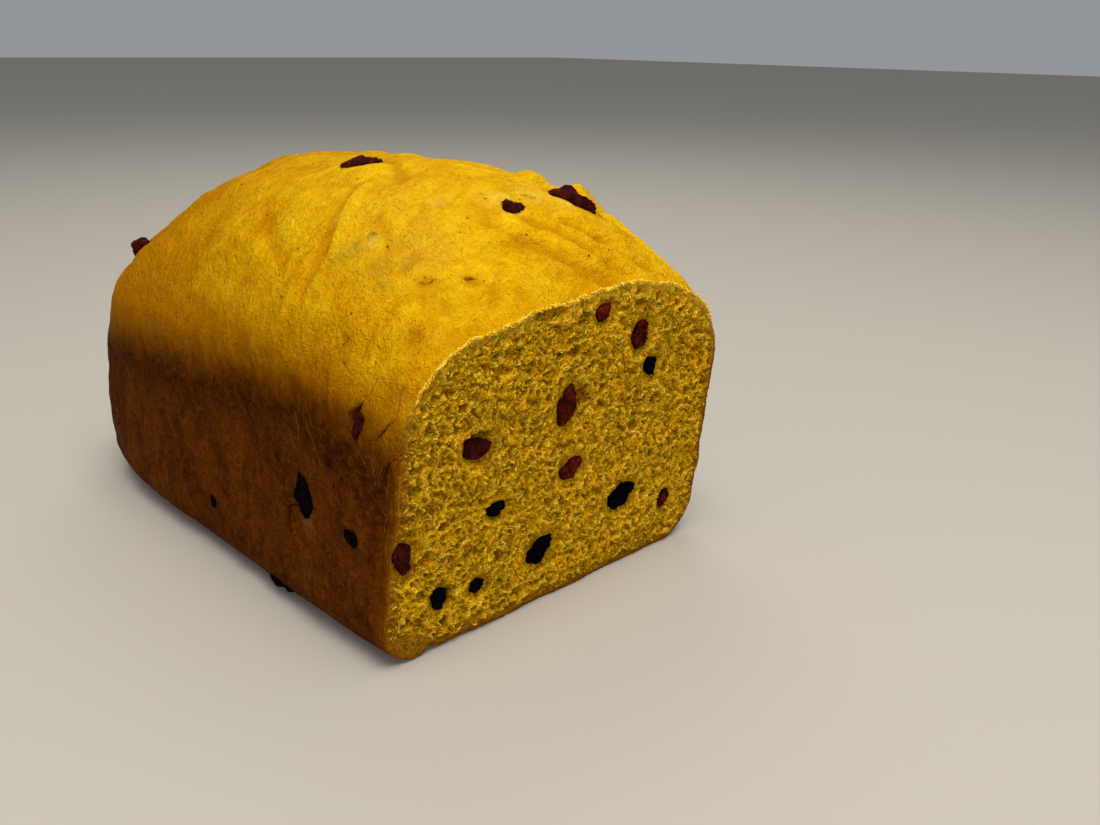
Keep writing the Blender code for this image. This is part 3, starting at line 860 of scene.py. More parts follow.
# Painted shade darkens the crumb's gaps and low places; painted highlight lightens its high tips.
shaded_gaps = sum_of(crumb_tree, "MULTIPLY", ridged["shaded_gaps"], ramp(crumb_tree, local, *GAP_SHADE_HEIGHTS))
tip_highlight = sum_of(crumb_tree, "MULTIPLY", grained["tip_highlight"], ramp(crumb_tree, local, *TIP_HIGHLIGHT_HEIGHTS))
high_up = ramp(crumb_tree, painted(crumb_tree, "above_rim_line"), *DOME_FADE)
band_reach = sum_of(crumb_tree, "MULTIPLY_ADD", high_up, BAND_LOSS_ON_DOME, BAND_REACH)
band_core = sum_of(crumb_tree, "MULTIPLY", band_reach, BAND_CORE)
band = ramp(crumb_tree, skin_depth, band_reach, band_core)
band = sum_of(crumb_tree, "MULTIPLY_ADD", grained["fibre"], -0.25, band)
band = sum_of(crumb_tree, "MAXIMUM", band, painted(crumb_tree, "lobe"))
threads = sum_of(crumb_tree, "MULTIPLY", ridged["fibre"], ramp(crumb_tree, skin_depth, *SKIN_THREAD_FADE))
edge_colour = blend(crumb_tree, high_up, CUT_SIDE_BROWN, SKIN_PALE)
# Besides the crumb's own tones, these tints paint shade into gaps, low places and bubble depths, and a
# highlight onto high tips.
crumb_tints = (
    (ridged["fibre"], 0.4, CRUMB_PALE_AND_HIGHLIGHT),
    (grained["dark"], 0.3, CRUMB_DARK_AND_SHADE),
    (shaded_gaps, 0.55, CRUMB_DARK_AND_SHADE),
    (ramp(crumb_tree, local, *LOW_SHADE_HEIGHTS), 0.45, CRUMB_DARK_AND_SHADE),
    (ramp(crumb_tree, painted(crumb_tree, "proud"), *DEEP_SHADE_FADE), 1.0, CRUMB_DARK_AND_SHADE),
    (tip_highlight, 0.7, CRUMB_PALE_AND_HIGHLIGHT),
    (painted(crumb_tree, "juice"), 0.9, JUICE_RED),
    (band, 0.9, blend(crumb_tree, high_up, SKIN_SIDE, SKIN_BAND)),
    (threads, 0.5, SKIN_PALE),
    (ramp(crumb_tree, skin_depth, *EDGE_FADE), 1.0, edge_colour),
    (painted(crumb_tree, "stain_and_shadow"), 1.0, CRUST_BLACK),
)
crumb_ground = blend(crumb_tree, grained["patch"], CRUMB_GOLD, CRUMB_OLIVE)
crumb_colour = tinted(crumb_tree, crumb_ground, crumb_tints)
crumb_height = sum_of(crumb_tree, "MULTIPLY_ADD", shaded_gaps, -0.9, ridged["fibre"])
crumb_rough = graded(crumb_tree, grained["patch"], *CRUMB_ROUGHNESS)
coated(crumb_tree, crumb_shader, crumb_colour, crumb_rough, BREAD_SPECULAR, crumb_height, CRUMB_BUMP)

BREAD = [crust_finish, crumb_finish]


# The knife's face, with the bubbles that it opened. Its block is cut out of the whole loaf.
CRUMB_CELL = 0.36 * MM
KNIFE_HALF_WIDTH = 64 * MM
KNIFE_LOW = -4 * MM
KNIFE_HIGH = 117 * MM
KNIFE_DEPTH = 150 * MM
BUBBLES = (
    (6.5 * MM, 0.36, 1.1 * MM, 51),
    (3.3 * MM, 0.44, 0.7 * MM, 52),
    (1.9 * MM, 0.5, 0.7 * MM, 53),
)
BUBBLES_KEPT = -0.02
BUBBLE_MEAN_SIZE = 0.75
BUBBLE_SIZE_SPREAD = 0.9
BUBBLE_SIZE_DRAW = 7.3
BUBBLE_KEEP_DRAW = 3.7
BUBBLE_ROUNDNESS = 0.7
RIDGES = ((4.4 * MM, 0.45 * MM, 63), (2.0 * MM, 0.5 * MM, 64), (1.1 * MM, 0.7 * MM, 65))
RIDGE_PATCH = 5.0 * MM
RIDGE_SLOPE = 3.0
RIDGE_UNEVENNESS = 0.9
CRUMB_WARP = 1.3 * MM
CRUMB_WARP_LENGTH = 2.6 * MM
CRUMB_LIFT = 0.55 * MM
CRUMB_BLUR = 5
SKIN_THICKNESS = 0.5 * MM
SKIN_EVENNESS = 0.2
CRUMB_START = 2.2 * MM
LIP_RELIEF = 0.5 * MM
LIP_FULLNESS = 0.6
LIP_LENGTH = 0.8 * MM
LIP_ONSET = 12 * MM
FRUIT_SINK = 1.2 * MM
FRUIT_MARGIN = 1.0 * MM
FRUIT_SHELF = 1.6
HOLLOW_RAGGEDNESS = 0.25
HOLLOW_RAG_LENGTH = 1.6 * MM
HOLLOW_STEEPNESS = 2.2

# The rounded lobe at the near foot, where the baked skin wraps round the corner of the cut.
NEAR_LOBE = (92.0, -52.0, 4.0, 8.0)
LOBE_EVENNESS = 0.35

# Torn hollows of the cut, in millimetres: their place across and up, half sizes and depth.
HOLLOWS = {
    "over the left cranberry": (-32.6, 56.4, 4.4, 3.0, 3.0),
    "right of the middle cranberry": (0.8, 60.0, 3.4, 3.2, 1.8),
    "right of the low raisin": (-39.0, 15.0, 2.0, 3.4, 2.4),
    "small slit near the base": (-39.6, 7.8, 1.2, 2.4, 1.8),
    "near the left foot": (-51.6, 11.8, 2.2, 1.3, 1.6),
    "left of the slit raisin": (-27.6, 35.6, 2.2, 1.2, 1.8),
    "pit on the left": (-42.5, 36.5, 1.6, 1.3, 1.6),
    "long bubble under the dome": (-14.0, 84.5, 6.5, 2.0, 1.2),
    "second long bubble under the dome": (3.0, 90.5, 5.5, 1.8, 1.1),
    "bubble on the upper left": (-28.0, 73.0, 3.6, 2.4, 1.3),
}


def bubble_depth(places, cell, share, depth, seed):
    """How deep the opened bubbles of one size are at each place."""
    shift = Vector((seed, seed, 0))
    found = [noise.voronoi(Vector(p) / cell + shift) for p in places]
    near = np.array([distances[0] for distances, _ in found])
    uneven = np.array([noise.noise(spots[0] * BUBBLE_SIZE_DRAW) for _, spots in found])
    size = share * (BUBBLE_MEAN_SIZE + BUBBLE_SIZE_SPREAD * uneven)
    kept = np.array([noise.noise(spots[0] * BUBBLE_KEEP_DRAW) > BUBBLES_KEPT for _, spots in found])
    return kept * depth * np.clip(1 - (near / size) ** 2, 0, 1) ** BUBBLE_ROUNDNESS


def flat_cut_x(y, z):
    return CUT_X + CUT_OVERHANG * (z - CUT_MID_HEIGHT) + CUT_SKEW * y


def off_fruit(y, z):
    """How far each place of the cut is from the nearest fruit in it, in shares of its size."""
    away = np.full(len(y), np.inf)
    for node in fruit:
        if "_cut" not in node:
            continue
        low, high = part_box(node)
        middle, reach = (low + high) / 2, (high - low) / 2
        across = (y - middle.y) / (reach.y + FRUIT_MARGIN)
        here = np.hypot(across, (z - middle.z) / (reach.z + FRUIT_MARGIN))
        away = np.minimum(away, here)
    return away


def crumb_relief(y, z):
    """The crumb's height on the cut above the knife's flat face, even at the skin and round fruit."""
    places = np.stack([y, z, np.zeros_like(y)], axis=1)
    warp_y, warp_z = (noise_at(places, CRUMB_WARP_LENGTH, seed) for seed in (61, 62))
    bent = places + CRUMB_WARP * np.stack([warp_y, warp_z, np.zeros_like(y)], axis=1)
    height = np.full(len(y), CRUMB_LIFT)
    for cell, share, depth, seed in BUBBLES:
        height -= bubble_depth(bent, cell, share, depth, seed)
    for length, tall, seed in RIDGES:
        ridge = 1 - np.clip(RIDGE_SLOPE * np.abs(noise_at(bent, length, seed)), 0, 1)
        patchy = RIDGE_UNEVENNESS * (1 + noise_at(places, RIDGE_PATCH, seed + 10))
        height += tall * (ridge - 0.5) * patchy
    x = flat_cut_x(y, z)
    depth = np.array([whole_skin.find_nearest(p)[3] for p in np.stack([x, y, z], axis=1)])
    _, lobe_y, lobe_z, lobe_reach = NEAR_LOBE
    off_lobe = np.hypot(y - lobe_y * MM, z - lobe_z * MM) / (lobe_reach * MM)
    height *= np.clip((depth - SKIN_THICKNESS) / (CRUMB_START - SKIN_THICKNESS), SKIN_EVENNESS, 1)
    height *= 1 - LOBE_EVENNESS * np.exp(-(off_lobe**4))
    lip = np.clip(1 - depth / (2 * SKIN_THICKNESS), 0, 1) * np.clip((z - RIM_HEIGHT) / LIP_ONSET, 0, 1)
    height += LIP_RELIEF * lip * (LIP_FULLNESS + noise_at(places, LIP_LENGTH, 67))
    for hollow_y, hollow_z, half_wide, half_high, deep in HOLLOWS.values():
        away = np.hypot((y - hollow_y * MM) / (half_wide * MM), (z - hollow_z * MM) / (half_high * MM))
        away += HOLLOW_RAGGEDNESS * noise_at(places, HOLLOW_RAG_LENGTH, 66)
        height -= deep * MM * np.clip(HOLLOW_STEEPNESS * (1 - away), 0, 1)
    beside_fruit = np.clip(FRUIT_SHELF - off_fruit(y, z), 0, 1)
    height = height * (1 - beside_fruit) - FRUIT_SINK * beside_fruit
    return height + CUT_WAVE * noise_at(places, CUT_WAVE_LENGTH, 0)


def box_blur(grid, reach):
    """The mean of each value's neighbours out to reach steps each way."""
    size = 2 * reach + 1
    for axis in (0, 1):
        margins = [(reach + 1, reach) if a == axis else (0, 0) for a in (0, 1)]
        padded = np.pad(grid, margins, mode="edge")
        total = np.cumsum(padded, axis=axis)
        ahead_of, behind = [slice(None)] * 2, [slice(None)] * 2
        ahead_of[axis], behind[axis] = slice(size, None), slice(None, -size)
        grid = (total[tuple(ahead_of)] - total[tuple(behind)]) / size
    return grid


crumb_columns = round(2 * KNIFE_HALF_WIDTH / CRUMB_CELL)
crumb_rows = round((KNIFE_HIGH - KNIFE_LOW) / CRUMB_CELL)
crumb_y, crumb_z = np.meshgrid(
    np.linspace(-KNIFE_HALF_WIDTH, KNIFE_HALF_WIDTH, crumb_columns + 1),
    np.linspace(KNIFE_LOW, KNIFE_HIGH, crumb_rows + 1),
)
crumb_heights = crumb_relief(crumb_y.ravel(), crumb_z.ravel()).reshape(crumb_y.shape)
crumb_local = crumb_heights - box_blur(crumb_heights, CRUMB_BLUR)


def grid_cell(y, z):
    """The row and column of the crumb's grid nearest to each place."""
    row = np.rint((z - KNIFE_LOW) / (KNIFE_HIGH - KNIFE_LOW) * crumb_rows)
    column = np.rint((y + KNIFE_HALF_WIDTH) / (2 * KNIFE_HALF_WIDTH) * crumb_columns)
    return np.clip(row, 0, crumb_rows).astype(int), np.clip(column, 0, crumb_columns).astype(int)


def knife_block():
    """A closed block, finely gridded on its face towards the loaf."""
    y, z = crumb_y.ravel(), crumb_z.ravel()
    x = flat_cut_x(y, z) + crumb_heights.ravel()
    row = crumb_columns + 1
    start = (np.arange(crumb_rows)[:, None] * row + np.arange(crumb_columns)).ravel()
    faces = np.stack([start, start + row, start + row + 1, start + 1], axis=1).tolist()
    rim = list(range(crumb_columns)) + [j * row + crumb_columns for j in range(crumb_rows)]
    rim += [crumb_rows * row + i for i in range(crumb_columns, 0, -1)]
    rim += [j * row for j in range(crumb_rows, 0, -1)]
    points = np.stack([x, y, z], axis=1)
    back = points[rim]
    back[:, 0] = CUT_X + KNIFE_DEPTH
    first_back = len(points)
    count = len(rim)
    for n in range(count):
        after = (n + 1) % count
        faces.append([rim[n], rim[after], first_back + after, first_back + n])
    faces.append(list(range(first_back, first_back + count)))
    return np.concatenate([points, back]), faces


def cut_away(piece, cutter):
    """Takes a closed shape out of a piece for good."""
    cut = piece.modifiers.new("cut", "BOOLEAN")
    cut.operation = "DIFFERENCE"
    cut.solver = "MANIFOLD"
    cut.object = cutter
    bpy.context.view_layer.update()
    piece.data = evaluated_copy(piece)
    piece.modifiers.clear()
    bpy.data.objects.remove(cutter)


loaf = mesh_piece("pumpkin_loaf", whole_points, crust_faces, BREAD)


# Pockets and slits: each fruit lies in a pocket just larger than itself, and the crust has
# torn open in thin slits, given here by their paths in millimetres, half width and depth.
POCKET_GAP = 0.13 * MM
BLADE_STEPS = 4
BLADE_RISE = 1.2 * MM
BLADE_FLARE = 1.6
BLADE_RAGGEDNESS = 0.4
BLADE_RAG_LENGTH = 1.3 * MM
BLADE_ENDS = (0.15, 0.7)
BLADE_LEAST_FLARE = 0.05
BLADE_LEAST_DEPTH = 0.2
SLITS = {
    "slit at the rim": (
        [(81.5, -60, 70), (79.5, -60, 67.5), (77.6, -60, 64), (77.2, -60, 60.5), (78, -60, 57)], 0.8, 3.0
    ),
    "slit beside the small cranberry": ([(70, 3.0, 112), (71.5, 4.2, 112), (73.2, 5.3, 111)], 0.9, 2.2),
    "tear left of the flap": (
        [(51.5, -61, 37), (48.5, -61, 33), (46.8, -61, 28), (46.2, -61, 22)], 0.6, 2.0
    ),
    "crease at the rim near the cut": (
        [(92, -59, 67.5), (89, -60, 64.3), (86, -60, 62), (82.5, -60, 60)], 0.5, 1.2
    ),
    "curl at the cut": ([(92.5, -60, 59), (89, -60, 55.5), (87.6, -60, 53), (89, -60, 50.5)], 0.6, 1.6),
    "tail of the low raisin": ([(72.4, -61, 31.6), (71.4, -61, 30), (71.4, -61, 28)], 0.6, 1.4),
    "small hole in the wall": ([(41, -61, 45), (41.6, -61, 42)], 0.7, 1.6),
    "long pit near the cut": ([(77.6, -37.6, 93), (78.8, -36.4, 93), (79.8, -34.8, 93)], 0.6, 1.0),
    "round pit near the cut": ([(84.2, -29.2, 93.5), (85.0, -28.3, 93.5), (85.6, -27.2, 93.5)], 0.8, 1.1),
    "pit above the rim": ([(68.6, -53, 81), (68.0, -53, 79), (67.9, -53, 77.6)], 0.7, 1.4),
    "pit under the pit above the rim": ([(70.6, -55, 76.4), (71.4, -55, 75)], 0.5, 0.9),
    "pit on the crest": ([(65.2, -8.4, 110), (66.6, -7.2, 110)], 0.6, 0.9),
    "crescent by the blister": ([(55.2, -36.6, 100), (56.0, -34.8, 101), (57.8, -33.8, 101)], 0.5, 0.9),
}


def fullness(n, count, ends):
    """How wide a strip is at its nth station: thin at both ends, which lie a little off the tips."""
    return math.sin(math.pi * (n + ends[0]) / (count - ends[1]))


def strip_faces(count):
    """The faces of a closed strip with a count of stations, each a ring of three corners."""
    faces = [(2, 1, 0)]
    for start in range(0, 3 * count - 3, 3):
        for corner in range(3):
            after = (corner + 1) % 3
            faces.append((start + corner, start + after, start + 3 + after, start + 3 + corner))
    return faces + [(3 * count - 3, 3 * count - 2, 3 * count - 1)]


def slit_blade(path, half_width, depth):
    """A thin closed blade that opens the skin along a path, ragged and pointed at both ends."""
    stations = []
    for start, end in zip(path, path[1:]):
        shares = [step / BLADE_STEPS for step in range(BLADE_STEPS)]
        stations += [Vector(start).lerp(Vector(end), share) * MM for share in shares]
    stations.append(Vector(path[-1]) * MM)
    points = []
    for n, station in enumerate(stations):
        spot, normal, _, _ = whole_skin.find_nearest(station)
        ahead_n, behind_n = min(n + 1, len(stations) - 1), max(n - 1, 0)
        run = (stations[ahead_n] - stations[behind_n]).normalized()
        side = normal.cross(run).normalized()
        swell = fullness(n, len(stations), BLADE_ENDS)
        ragged = 1 + BLADE_RAGGEDNESS * noise.noise(station / BLADE_RAG_LENGTH)
        flare = side * half_width * MM * max(swell, BLADE_LEAST_FLARE) * ragged * BLADE_FLARE
        above = spot + normal * BLADE_RISE
        deep = normal * depth * MM * max(swell, BLADE_LEAST_DEPTH)
        points += [above + flare, above - flare, spot - deep]
    return points, strip_faces(len(stations))


def joined_cutter(shapes):
    """One cutter from closed shapes that do not meet: points, faces and material number each."""
    points, faces, numbers = [], [], []
    for shape_points, shape_faces, number in shapes:
        faces += [[corner + len(points) for corner in face] for face in shape_faces]
        points += [tuple(p) for p in shape_points]
        numbers += [number] * len(shape_faces)
    cutter = mesh_piece("openings", points, faces, BREAD)
    cutter.data.polygons.foreach_set("material_index", np.array(numbers, np.int32))
    tidy = bmesh.new()
    tidy.from_mesh(cutter.data)
    bmesh.ops.recalc_face_normals(tidy, faces=tidy.faces)
    tidy.to_mesh(cutter.data)
    tidy.free()
    return cutter


pockets = []
for node, piece in fruit.items():
    grown = point_array(piece.data, piece.data.vertices, "co")
    grown += POCKET_GAP * point_array(piece.data, piece.data.vertex_normals, "vector")
    pocket_faces = [list(face.vertices) for face in piece.data.polygons]
    pockets.append((grown, pocket_faces, 1 if "_cut" in node else 0))
cut_away(loaf, joined_cutter(pockets))
cut_away(loaf, joined_cutter([(*slit_blade(*slit), 0) for slit in SLITS.values()]))
knife = mesh_piece("knife", *knife_block(), BREAD)
knife.data.polygons.foreach_set("material_index", np.ones(len(knife.data.polygons), np.int32))
cut_away(loaf, knife)


def drop_scraps(mesh):
    """Deletes what the cuts left loose: every part but the one with the most corners."""
    ends = np.empty(2 * len(mesh.edges), np.int32)
    mesh.edges.foreach_get("vertices", ends)
    ends = ends.reshape(-1, 2)
    part = np.arange(len(mesh.vertices))
    while True:
        lowest = part.copy()
        shared = part[ends].min(axis=1)
        np.minimum.at(lowest, ends[:, 0], shared)
        np.minimum.at(lowest, ends[:, 1], shared)
        lowest = lowest[lowest]
        if np.array_equal(lowest, part):
            break
        part = lowest
    main = np.bincount(part).argmax()
    whole = bmesh.new()
    whole.from_mesh(mesh)
    scraps = [corner for corner in whole.verts if part[corner.index] != main]
    bmesh.ops.delete(whole, geom=scraps, context="VERTS")
    whole.to_mesh(mesh)
    whole.free()


drop_scraps(loaf.data)


# What the bread's looks need at each point: its height over the line that the tin's rim left,
# its depth under the skin, how proud it stands of the flat cut, and the stained and bare places.
# Some of these carry painted shade: inside openings, beside the large cranberry and round the blister.
RIM_LINE = 60.0 * MM
RIM_LINE_SLOPE = 0.1
RIM_LINE_END = 45 * MM
RIM_LINE_DIP = 7 * MM
RIM_LINE_DIP_START = 60 * MM
RIM_LINE_DIP_LENGTH = 30 * MM
CUT_SIDE_REACH = 3.5 * MM
# Dark stains where raisins show through the thin crust, a brown spot, and one painted shadow right of the
# large cranberry.
STAINS_AND_SHADOW = {
    "raisin under the crust": (66.6, -57.7, 50.0, 2.2, 0.9),
    "small raisin under the crust": (41.2, -57.1, 43.3, 1.5, 0.8),
    "brown spot on the left": (41.7, -38.4, 99.1, 1.2, 0.4),
    "shade right of the large cranberry": (74.5, 26.5, 101.0, 1.6, 0.5),
}
# Crust lying deeper than this under the skin, inside pockets and slits, is given painted shade.
OPENING_DEPTH = 0.3 * MM
OPENING_SHADE = 0.85
PATCH_FILL = 0.85
PATCH_RAGGEDNESS = 1.2
PATCH_RAG_LENGTH = 2.2 * MM
# Bare olive patches of the crust; the ring round the blister is painted shade.
BARE_PATCHES_AND_SHADE = {
    "bare patch": (55.2, -38.2, 97.4, 2.6, 1.0),
    "lower end of the bare patch": (51.5, -41.0, 95.2, 2.4, 0.8),
    "shade round the blister": (56.6, -35.0, 99.8, 1.6, 1.0),
    "thin patch below the blister": (66.0, -40.0, 93.0, 3.0, 0.35),
    "pale patch": (69.0, -41.0, 91.0, 2.2, 0.5),
}
BEIGE_PATCHES = {
    "thin crust by the small cranberry": (68.0, -5.5, 107.5, 4.0, 0.6),
    "thin crust between the cranberries": (69.0, 6.5, 107.5, 4.5, 0.6),
    "thin crust before the large cranberry": (73.5, 13.0, 105.0, 3.0, 0.6),
    "rim of the gap between the folds": (64.0, 20.0, 108.5, 3.0, 0.6),
    "side of the fold": (69.5, 29.5, 103.5, 2.5, 0.6),
    "blister": (58.0, -36.2, 98.6, 1.6, 1.0),
    "light patch on the crest": (61.0, -18.0, 107.4, 2.6, 0.5),
    "light patch by the crease": (41.0, -34.0, 102.0, 2.2, 0.5),
    "light crust behind the blister": (50.0, -24.0, 104.0, 13.0, 0.10),
    "light crust before the blister": (69.0, -31.0, 98.0, 9.0, 0.24),
}
FLAP = (54.6, -57.0, 28.4, 3.6)
BROWNED = {
    "dent on the front": (71.1, -35.0, 95.9, 2.6, 1.0),
    "streak on the front": (63.9, -39.3, 94.6, 2.4, 0.8),
    "second dent on the front": (88.0, -37.0, 90.0, 2.8, 0.8),
    "third dent on the front": (86.0, -46.0, 83.0, 3.4, 0.8),
    "long pit near the cut": (78.8, -36.2, 92.4, 2.4, 1.0),
    "round pit near the cut": (85.0, -28.3, 92.8, 2.0, 1.0),
    "pit above the rim": (68.2, -52.1, 79.6, 2.0, 1.0),
    "front corner by the cut": (88.0, -52.0, 72.0, 5.0, 0.75),
    "rim by the slit": (80.0, -55.5, 66.0, 5.0, 0.75),
}
JUICE = {
    "right of the middle cranberry": (0.9, 59.6, 3.0, 0.75),
    "under the left cranberry": (-32.0, 53.0, 3.6, 0.7),
    "smear on the left": (-48.4, 42.6, 2.6, 0.6),
    "under the edge cranberry": (-50.6, 27.5, 2.6, 0.7),
    "beside the high cranberry": (23.6, 70.5, 2.4, 0.4),
    "beside the slit raisin": (-22.8, 33.4, 1.8, 0.5),
    "above the top cranberry": (7.4, 83.2, 2.0, 0.4),
}


def spots(points, places, power):
    """How much each point lies in one of the round places, given in millimetres with reach and share."""
    found = np.zeros(len(points))
    for *middle, reach, share in places:
        away = np.linalg.norm(points - np.array(middle) * MM, axis=1) / (reach * MM)
        found = np.maximum(found, share * np.exp(-(away**power)))
    return found


bread = loaf.data
places = point_array(bread, bread.vertices, "co")
x, y, z = places.T
rim_line = RIM_LINE + RIM_LINE_SLOPE * np.minimum(x, RIM_LINE_END)
near_cut = np.clip((x - RIM_LINE_DIP_START) / RIM_LINE_DIP_LENGTH, 0, 1)
rim_line -= RIM_LINE_DIP * near_cut**2 * (3 - 2 * near_cut)
ragged = np.clip(PATCH_FILL + PATCH_RAGGEDNESS * noise_at(places, PATCH_RAG_LENGTH, 71), 0, 1)
under_skin = np.array([whole_skin.find_nearest(p)[3] for p in places])
on_crumb = np.zeros(len(places), bool)
for face in bread.polygons:
    if face.material_index == 1:
        on_crumb[list(face.vertices)] = True
opened = ~on_crumb & (under_skin > OPENING_DEPTH)
from_cut = flat_cut_x(y, z) - x
flat_waves = CUT_WAVE * noise_at(np.stack([y, z, 0 * y], axis=1), CUT_WAVE_LENGTH, 0)
held = {
    "above_rim_line": z - rim_line,
    "proud": -from_cut - flat_waves,
    "local_height": crumb_local[grid_cell(y, z)],
    "skin_depth": under_skin,
    "stain_and_shadow": spots(places, STAINS_AND_SHADOW.values(), 4),
    "opened": OPENING_SHADE * opened,
    "bare": ragged * spots(places, BARE_PATCHES_AND_SHADE.values(), 2),
    "beige": ragged * spots(places, BEIGE_PATCHES.values(), 2),
    "flap": ragged * spots(places, [(*FLAP, 1)], 6),
    "juice": ragged * spots(places[:, 1:], JUICE.values(), 3),
    "cut_side": np.clip(1 - from_cut / CUT_SIDE_REACH, 0, 1) ** 1.5,
    "relief": fine_relief(places),
    "browned": ragged * spots(places, BROWNED.values(), 2),
    "lobe": spots(places, [(*NEAR_LOBE, 1)], 4),
}
for name, values in held.items():
    layer = bread.attributes.new(name, "FLOAT", "POINT")
    layer.data.foreach_set("value", values)

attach(loaf, "root")
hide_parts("loaf")


# The torn crumb
# Cell walls that the knife tore rather than cut: thin ragged ribs that stand along the crests of
# the crumb, leaning and uneven in height. Each is fast to the bread along its foot.

RIB_COUNT = 7000
RIB_STATIONS = 6
RIB_STEP = 0.27 * MM
RIB_HEIGHT = (0.08, 0.65)
RIB_THICKNESS = 0.11 * MM
RIB_LEAN = 0.28 * MM
RIB_FOOT = 0.14 * MM
RIB_BLUR = 2
RIB_SEED = 12
FRUIT_CLEARANCE = 1.25
RIB_DEEPEST = -1.0 * MM
RIB_LOWEST = 2.5 * MM
RIB_SKIN_CLEARANCE = 2.0 * MM
RIB_LEAST_CREST = 0.05 * MM
RIB_TURN = 0.25
RIB_RISE_SPREAD = (0.3, 1.3)
RIB_ENDS = (0.4, 0.2)
RIB_END_WIDTH = 0.35
SCRAP_BUMP = (0.4, 0.1 * MM)
LOBE_EDGE = 0.4


def crest_directions(heights):
    """Which way the crests of a grid of heights run, as an angle from the rows."""
    down, along = np.gradient(box_blur(heights, 1))
    tilted = 2 * box_blur(down * along, RIB_BLUR)
    straight = box_blur(along**2, RIB_BLUR) - box_blur(down**2, RIB_BLUR)
    return 0.5 * np.arctan2(tilted, straight) + math.pi / 2


def joined_rings(name, rings, material):
    """One joined mesh of closed three-sided strips, from their rings of three corners."""
    count, each = len(rings[0]), len(rings)
    points = np.stack(rings, axis=1).reshape(-1, 3)
    strip = strip_faces(each // 3)
    joined = [tuple(each * n + corner for corner in face) for n in range(count) for face in strip]
    piece = mesh_piece(name, points, joined, [material])
    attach(piece, "root")
    return piece


rib_finish, rib_tree, rib_shader = new_material("torn_crumb")
rib_patch, _ = grain_of(rib_tree, *CRUMB_GRAINS["patch"])
rib_mix, _ = grain_of(rib_tree, 3.0, roughness=0.7, contrast=0.08, shift=21)
rib_ground = blend(rib_tree, rib_patch, CRUMB_GOLD, CRUMB_OLIVE)
rib_colour = tinted(rib_tree, rib_ground, [(rib_mix, 0.75, CRUMB_PALE_AND_HIGHLIGHT)])
coated(rib_tree, rib_shader, rib_colour, 0.85, BREAD_SPECULAR, rib_mix, SCRAP_BUMP)

out_of_cut = np.array((1, -CUT_SKEW, -CUT_OVERHANG))
out_of_cut /= np.linalg.norm(out_of_cut)
draw = np.random.default_rng(RIB_SEED)
crest_angle = crest_directions(crumb_heights)
on_cut = on_crumb & (held["proud"] > RIB_DEEPEST) & (off_fruit(y, z) > FRUIT_CLEARANCE)
on_cut &= (held["lobe"] < LOBE_EDGE) & (z > RIB_LOWEST)
on_crest = (under_skin > RIB_SKIN_CLEARANCE) & (held["local_height"] > RIB_LEAST_CREST)
crests = np.flatnonzero(on_cut & on_crest)
starts = places[draw.choice(crests, RIB_COUNT, replace=False)]
rib_y, rib_z = starts[:, 1].copy(), starts[:, 2].copy()
heading = draw.uniform(0, 2 * math.pi, RIB_COUNT)
tallest = draw.uniform(*RIB_HEIGHT, RIB_COUNT) * MM
lean = draw.uniform(-1, 1, RIB_COUNT) * RIB_LEAN
rings = []
for n in range(RIB_STATIONS):
    row, column = grid_cell(rib_y, rib_z)
    crest = crest_angle[row, column]
    crest = np.where(np.cos(crest - heading) < 0, crest + math.pi, crest)
    heading = crest + draw.uniform(-RIB_TURN, RIB_TURN, RIB_COUNT)
    x_here = flat_cut_x(rib_y, rib_z) + crumb_heights[row, column]
    foot = np.stack([x_here, rib_y, rib_z], axis=1) - out_of_cut * RIB_FOOT
    across = np.stack([np.zeros(RIB_COUNT), -np.sin(heading), np.cos(heading)], axis=1)
    swell = fullness(n, RIB_STATIONS, RIB_ENDS)
    rise = RIB_FOOT + tallest * swell * draw.uniform(*RIB_RISE_SPREAD, RIB_COUNT)
    half = RIB_THICKNESS * (RIB_END_WIDTH + (1 - RIB_END_WIDTH) * swell)
    rings += [foot + across * half, foot - across * half]
    rings.append(foot + out_of_cut * rise[:, None] + across * (lean * swell)[:, None])
    rib_y += RIB_STEP * np.cos(heading)
    rib_z += RIB_STEP * np.sin(heading)
joined_rings("torn_crumb", rings, rib_finish)


# The stretched skin
# Thin pale threads where the crust stretched: down from the rim to the upright raisin, beside the
# slit at the rim and along the left edge of the cut. Each is fast to the crust along its foot.

THREAD_COLOUR = (0.12, 0.033, 0.002, 1)
THREAD_LIGHT = (0.27, 0.115, 0.016, 1)
THREAD_HALF_WIDTH = 0.13 * MM
THREAD_HEIGHT = 0.12 * MM
THREAD_FOOT = 0.12 * MM
THREAD_SWAY = 0.35 * MM
THREAD_SWAY_LENGTH = 3.0 * MM
THREAD_STATIONS = 24
THREAD_SEED = 5
THREAD_PATHS = {
    "to the upright raisin": [(54.2, -60, 62.5), (57.5, -60, 57.0), (61.5, -60, 50.0), (64.8, -60, 45.4)],
    "second to the upright raisin": [(57.0, -60, 63.2), (60.4, -60, 57.4), (64.0, -60, 52.0)],
    "short one beside it": [(52.0, -60, 60.5), (53.4, -60, 56.0), (54.0, -60, 51.0)],
    "above the rim slit": [(82.8, -54, 77.2), (82.6, -56, 72.8), (81.5, -57, 69.3)],
    "along the rim slit": [(79.0, -58, 68.5), (76.6, -60, 65.2), (76.2, -60, 61.0), (77.0, -60, 57.4)],
    "below the rim slit": [(78.7, -60, 56.7), (80.4, -60, 54.8), (81.7, -60, 53.2)],
    "second below the rim slit": [(83.0, -60, 59.0), (84.6, -60, 54.0), (85.0, -60, 49.0)],
    "beside the curl": [(91.0, -59, 58.4), (87.0, -60, 55.0), (85.8, -60, 52.0), (86.8, -60, 49.2)],
    "over the near corner": [(60.0, -49, 83.0), (64.0, -51, 80.5), (66.6, -53, 77.0)],
}
